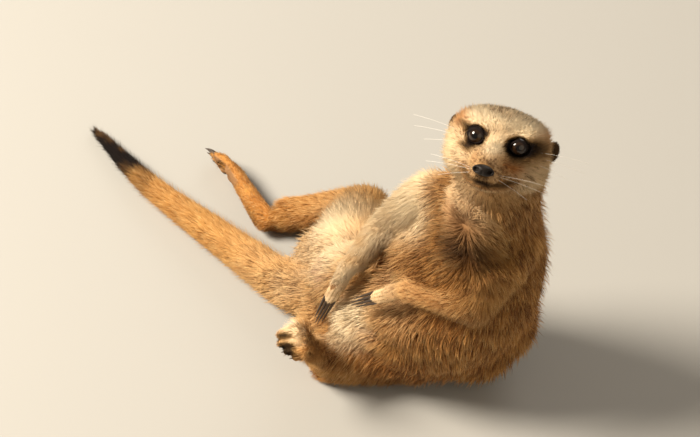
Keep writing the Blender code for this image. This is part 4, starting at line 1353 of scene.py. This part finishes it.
hornFinish = newFinish("horn", pieceFinishes["horn"])[0]
for name in pawPlans:
    # each claw: a thin tube that hooks down and narrows to its tip
    plan, fitted = pawPlans[name][0], pawFrame(name)
    long, thick, hook = plan["claw"]
    surfaces = []
    for digit in plan["digits"]:
        length, drop = digit[2], digitDrop(digit)
        rows = np.array([
            (length - 2.2, drop - 1.1, 0.8, 1.0),
            (length, drop - 0.3, 0.95, 1.2),
            (length + long * 0.35, drop + hook * 0.1, 0.75, 0.98),
            (length + long * 0.7, drop + hook * 0.45, 0.46, 0.62),
            (length + long, drop + hook, 0.14, 0.16),
        ])
        centres = toWorld(fitted, digitPoints(digit, rows) * mm)
        halves = rows[:, 2:] * thick * mm
        surfaces.append(tube(centres, fitted[0][:, 0], halves[:, 0], halves[:, 1], 14, 5, 3))
    made = meshObject("claws_" + name, surfaces)
    finishPiece(made, hornFinish, "horn", *(f"claw_{name}_{k}" for k in (1, 2, 3, 4)))

whiskerPlan = {
    "hairs": [  # for the right side, in the head's frame: root in mm, way, length in mm
        ((20, -7, -0.5), (1, -0.15, 0.12), 27),
        ((20.4, -8, -3.2), (1, -0.2, 0.0), 25),
        ((19.6, -6, -6), (1, -0.2, -0.14), 19),
        ((8.2, 14.6, -13.0), (1, -0.1, 0.12), 22),
        ((9.0, 12.8, -14.2), (1, -0.25, -0.05), 24),
        ((7.8, 15.4, -15.4), (1, -0.15, -0.3), 17),
    ],
    "thick": 0.06,
    "sag": (0, -0.12, -0.1),
    "sunk": 1.5,
}
surfaces = []
for side in (-1, 1):
    for root, way, long in whiskerPlan["hairs"]:
        # a hair that sweeps back and sags as the square of how far out it is
        out = np.linspace(0, 1, 6)[:, None]
        way = units(np.array(way))
        start = np.array(root) - way * whiskerPlan["sunk"]
        line = start + way * out * long + np.array(whiskerPlan["sag"]) * out**2 * long
        halves = whiskerPlan["thick"] * (1 - 0.8 * out[:, 0]) * mm
        surfaces.append(tube(fromHead(line * [side, 1, 1]), headFrame[0][:, 1], halves, halves, 5, 3, 1))
finishPiece(meshObject("whiskers", surfaces), newFinish("whisker", pieceFinishes["whisker"])[0], "face_fur")
print("eyes, nose, claws and whiskers")

# camera, lights, floor

viewPlan = {
    "from": (-28.0, -1002.7, 1302.3),  # mm
    "down": 50.0,  # degrees below level
    "lens": 156.1,
}
lightPlan = {  # place and aim in metres, size, power, colour
    "key": ((-1.3, 0.15, 1.35), (-0.02, 0.02, 0.06), 0.8, 75, (1.0, 0.91, 0.77)),
    "fill": ((1.2, -1.4, 1.2), (0, 0, 0.08), 2.4, 12, (1.0, 0.82, 0.58)),
    "back": ((0.8, 1.4, 1.0), (0, 0, 0.08), 1.2, 9, (1.0, 0.95, 0.88)),
}
skyPlan = {"Color": (1.0, 0.91, 0.79, 1), "Strength": 0.26}
floorPlan = {"Base Color": (0.40, 0.388, 0.365, 1), "Roughness": 0.9}
scene = bpy.context.scene
cameraData = bpy.data.cameras.new("camera")
cameraData.lens, cameraData.sensor_width = viewPlan["lens"], 36
cameraData.clip_start, cameraData.clip_end = 0.05, 30
scene.camera = linked("camera", cameraData)
scene.camera.location = Vector(viewPlan["from"]) * mm
scene.camera.rotation_euler = (math.radians(90 - viewPlan["down"]), 0, 0)
for name, (place, aim, size, power, colour) in lightPlan.items():
    data = bpy.data.lights.new(name, "AREA")
    data.shape, data.size, data.energy, data.color = "DISK", size, power, colour
    made = linked(name, data)
    made.location = place
    made.rotation_euler = (Vector(aim) - Vector(place)).to_track_quat("-Z", "Y").to_euler()
scene.world = bpy.data.worlds.new("studio")
scene.world.use_nodes = True
setSockets(scene.world.node_tree.nodes["Background"], skyPlan)
scene.view_settings.view_transform = "Standard"

floorMesh = bpy.data.meshes.new("floor")
floorMesh.from_pydata([(-4, -4, 0), (4, -4, 0), (4, 4, 0), (-4, 4, 0)], [], [(0, 1, 2, 3)])
floorMesh.materials.append(newFinish("paleFloor", floorPlan)[0])
linked("floor", floorMesh)
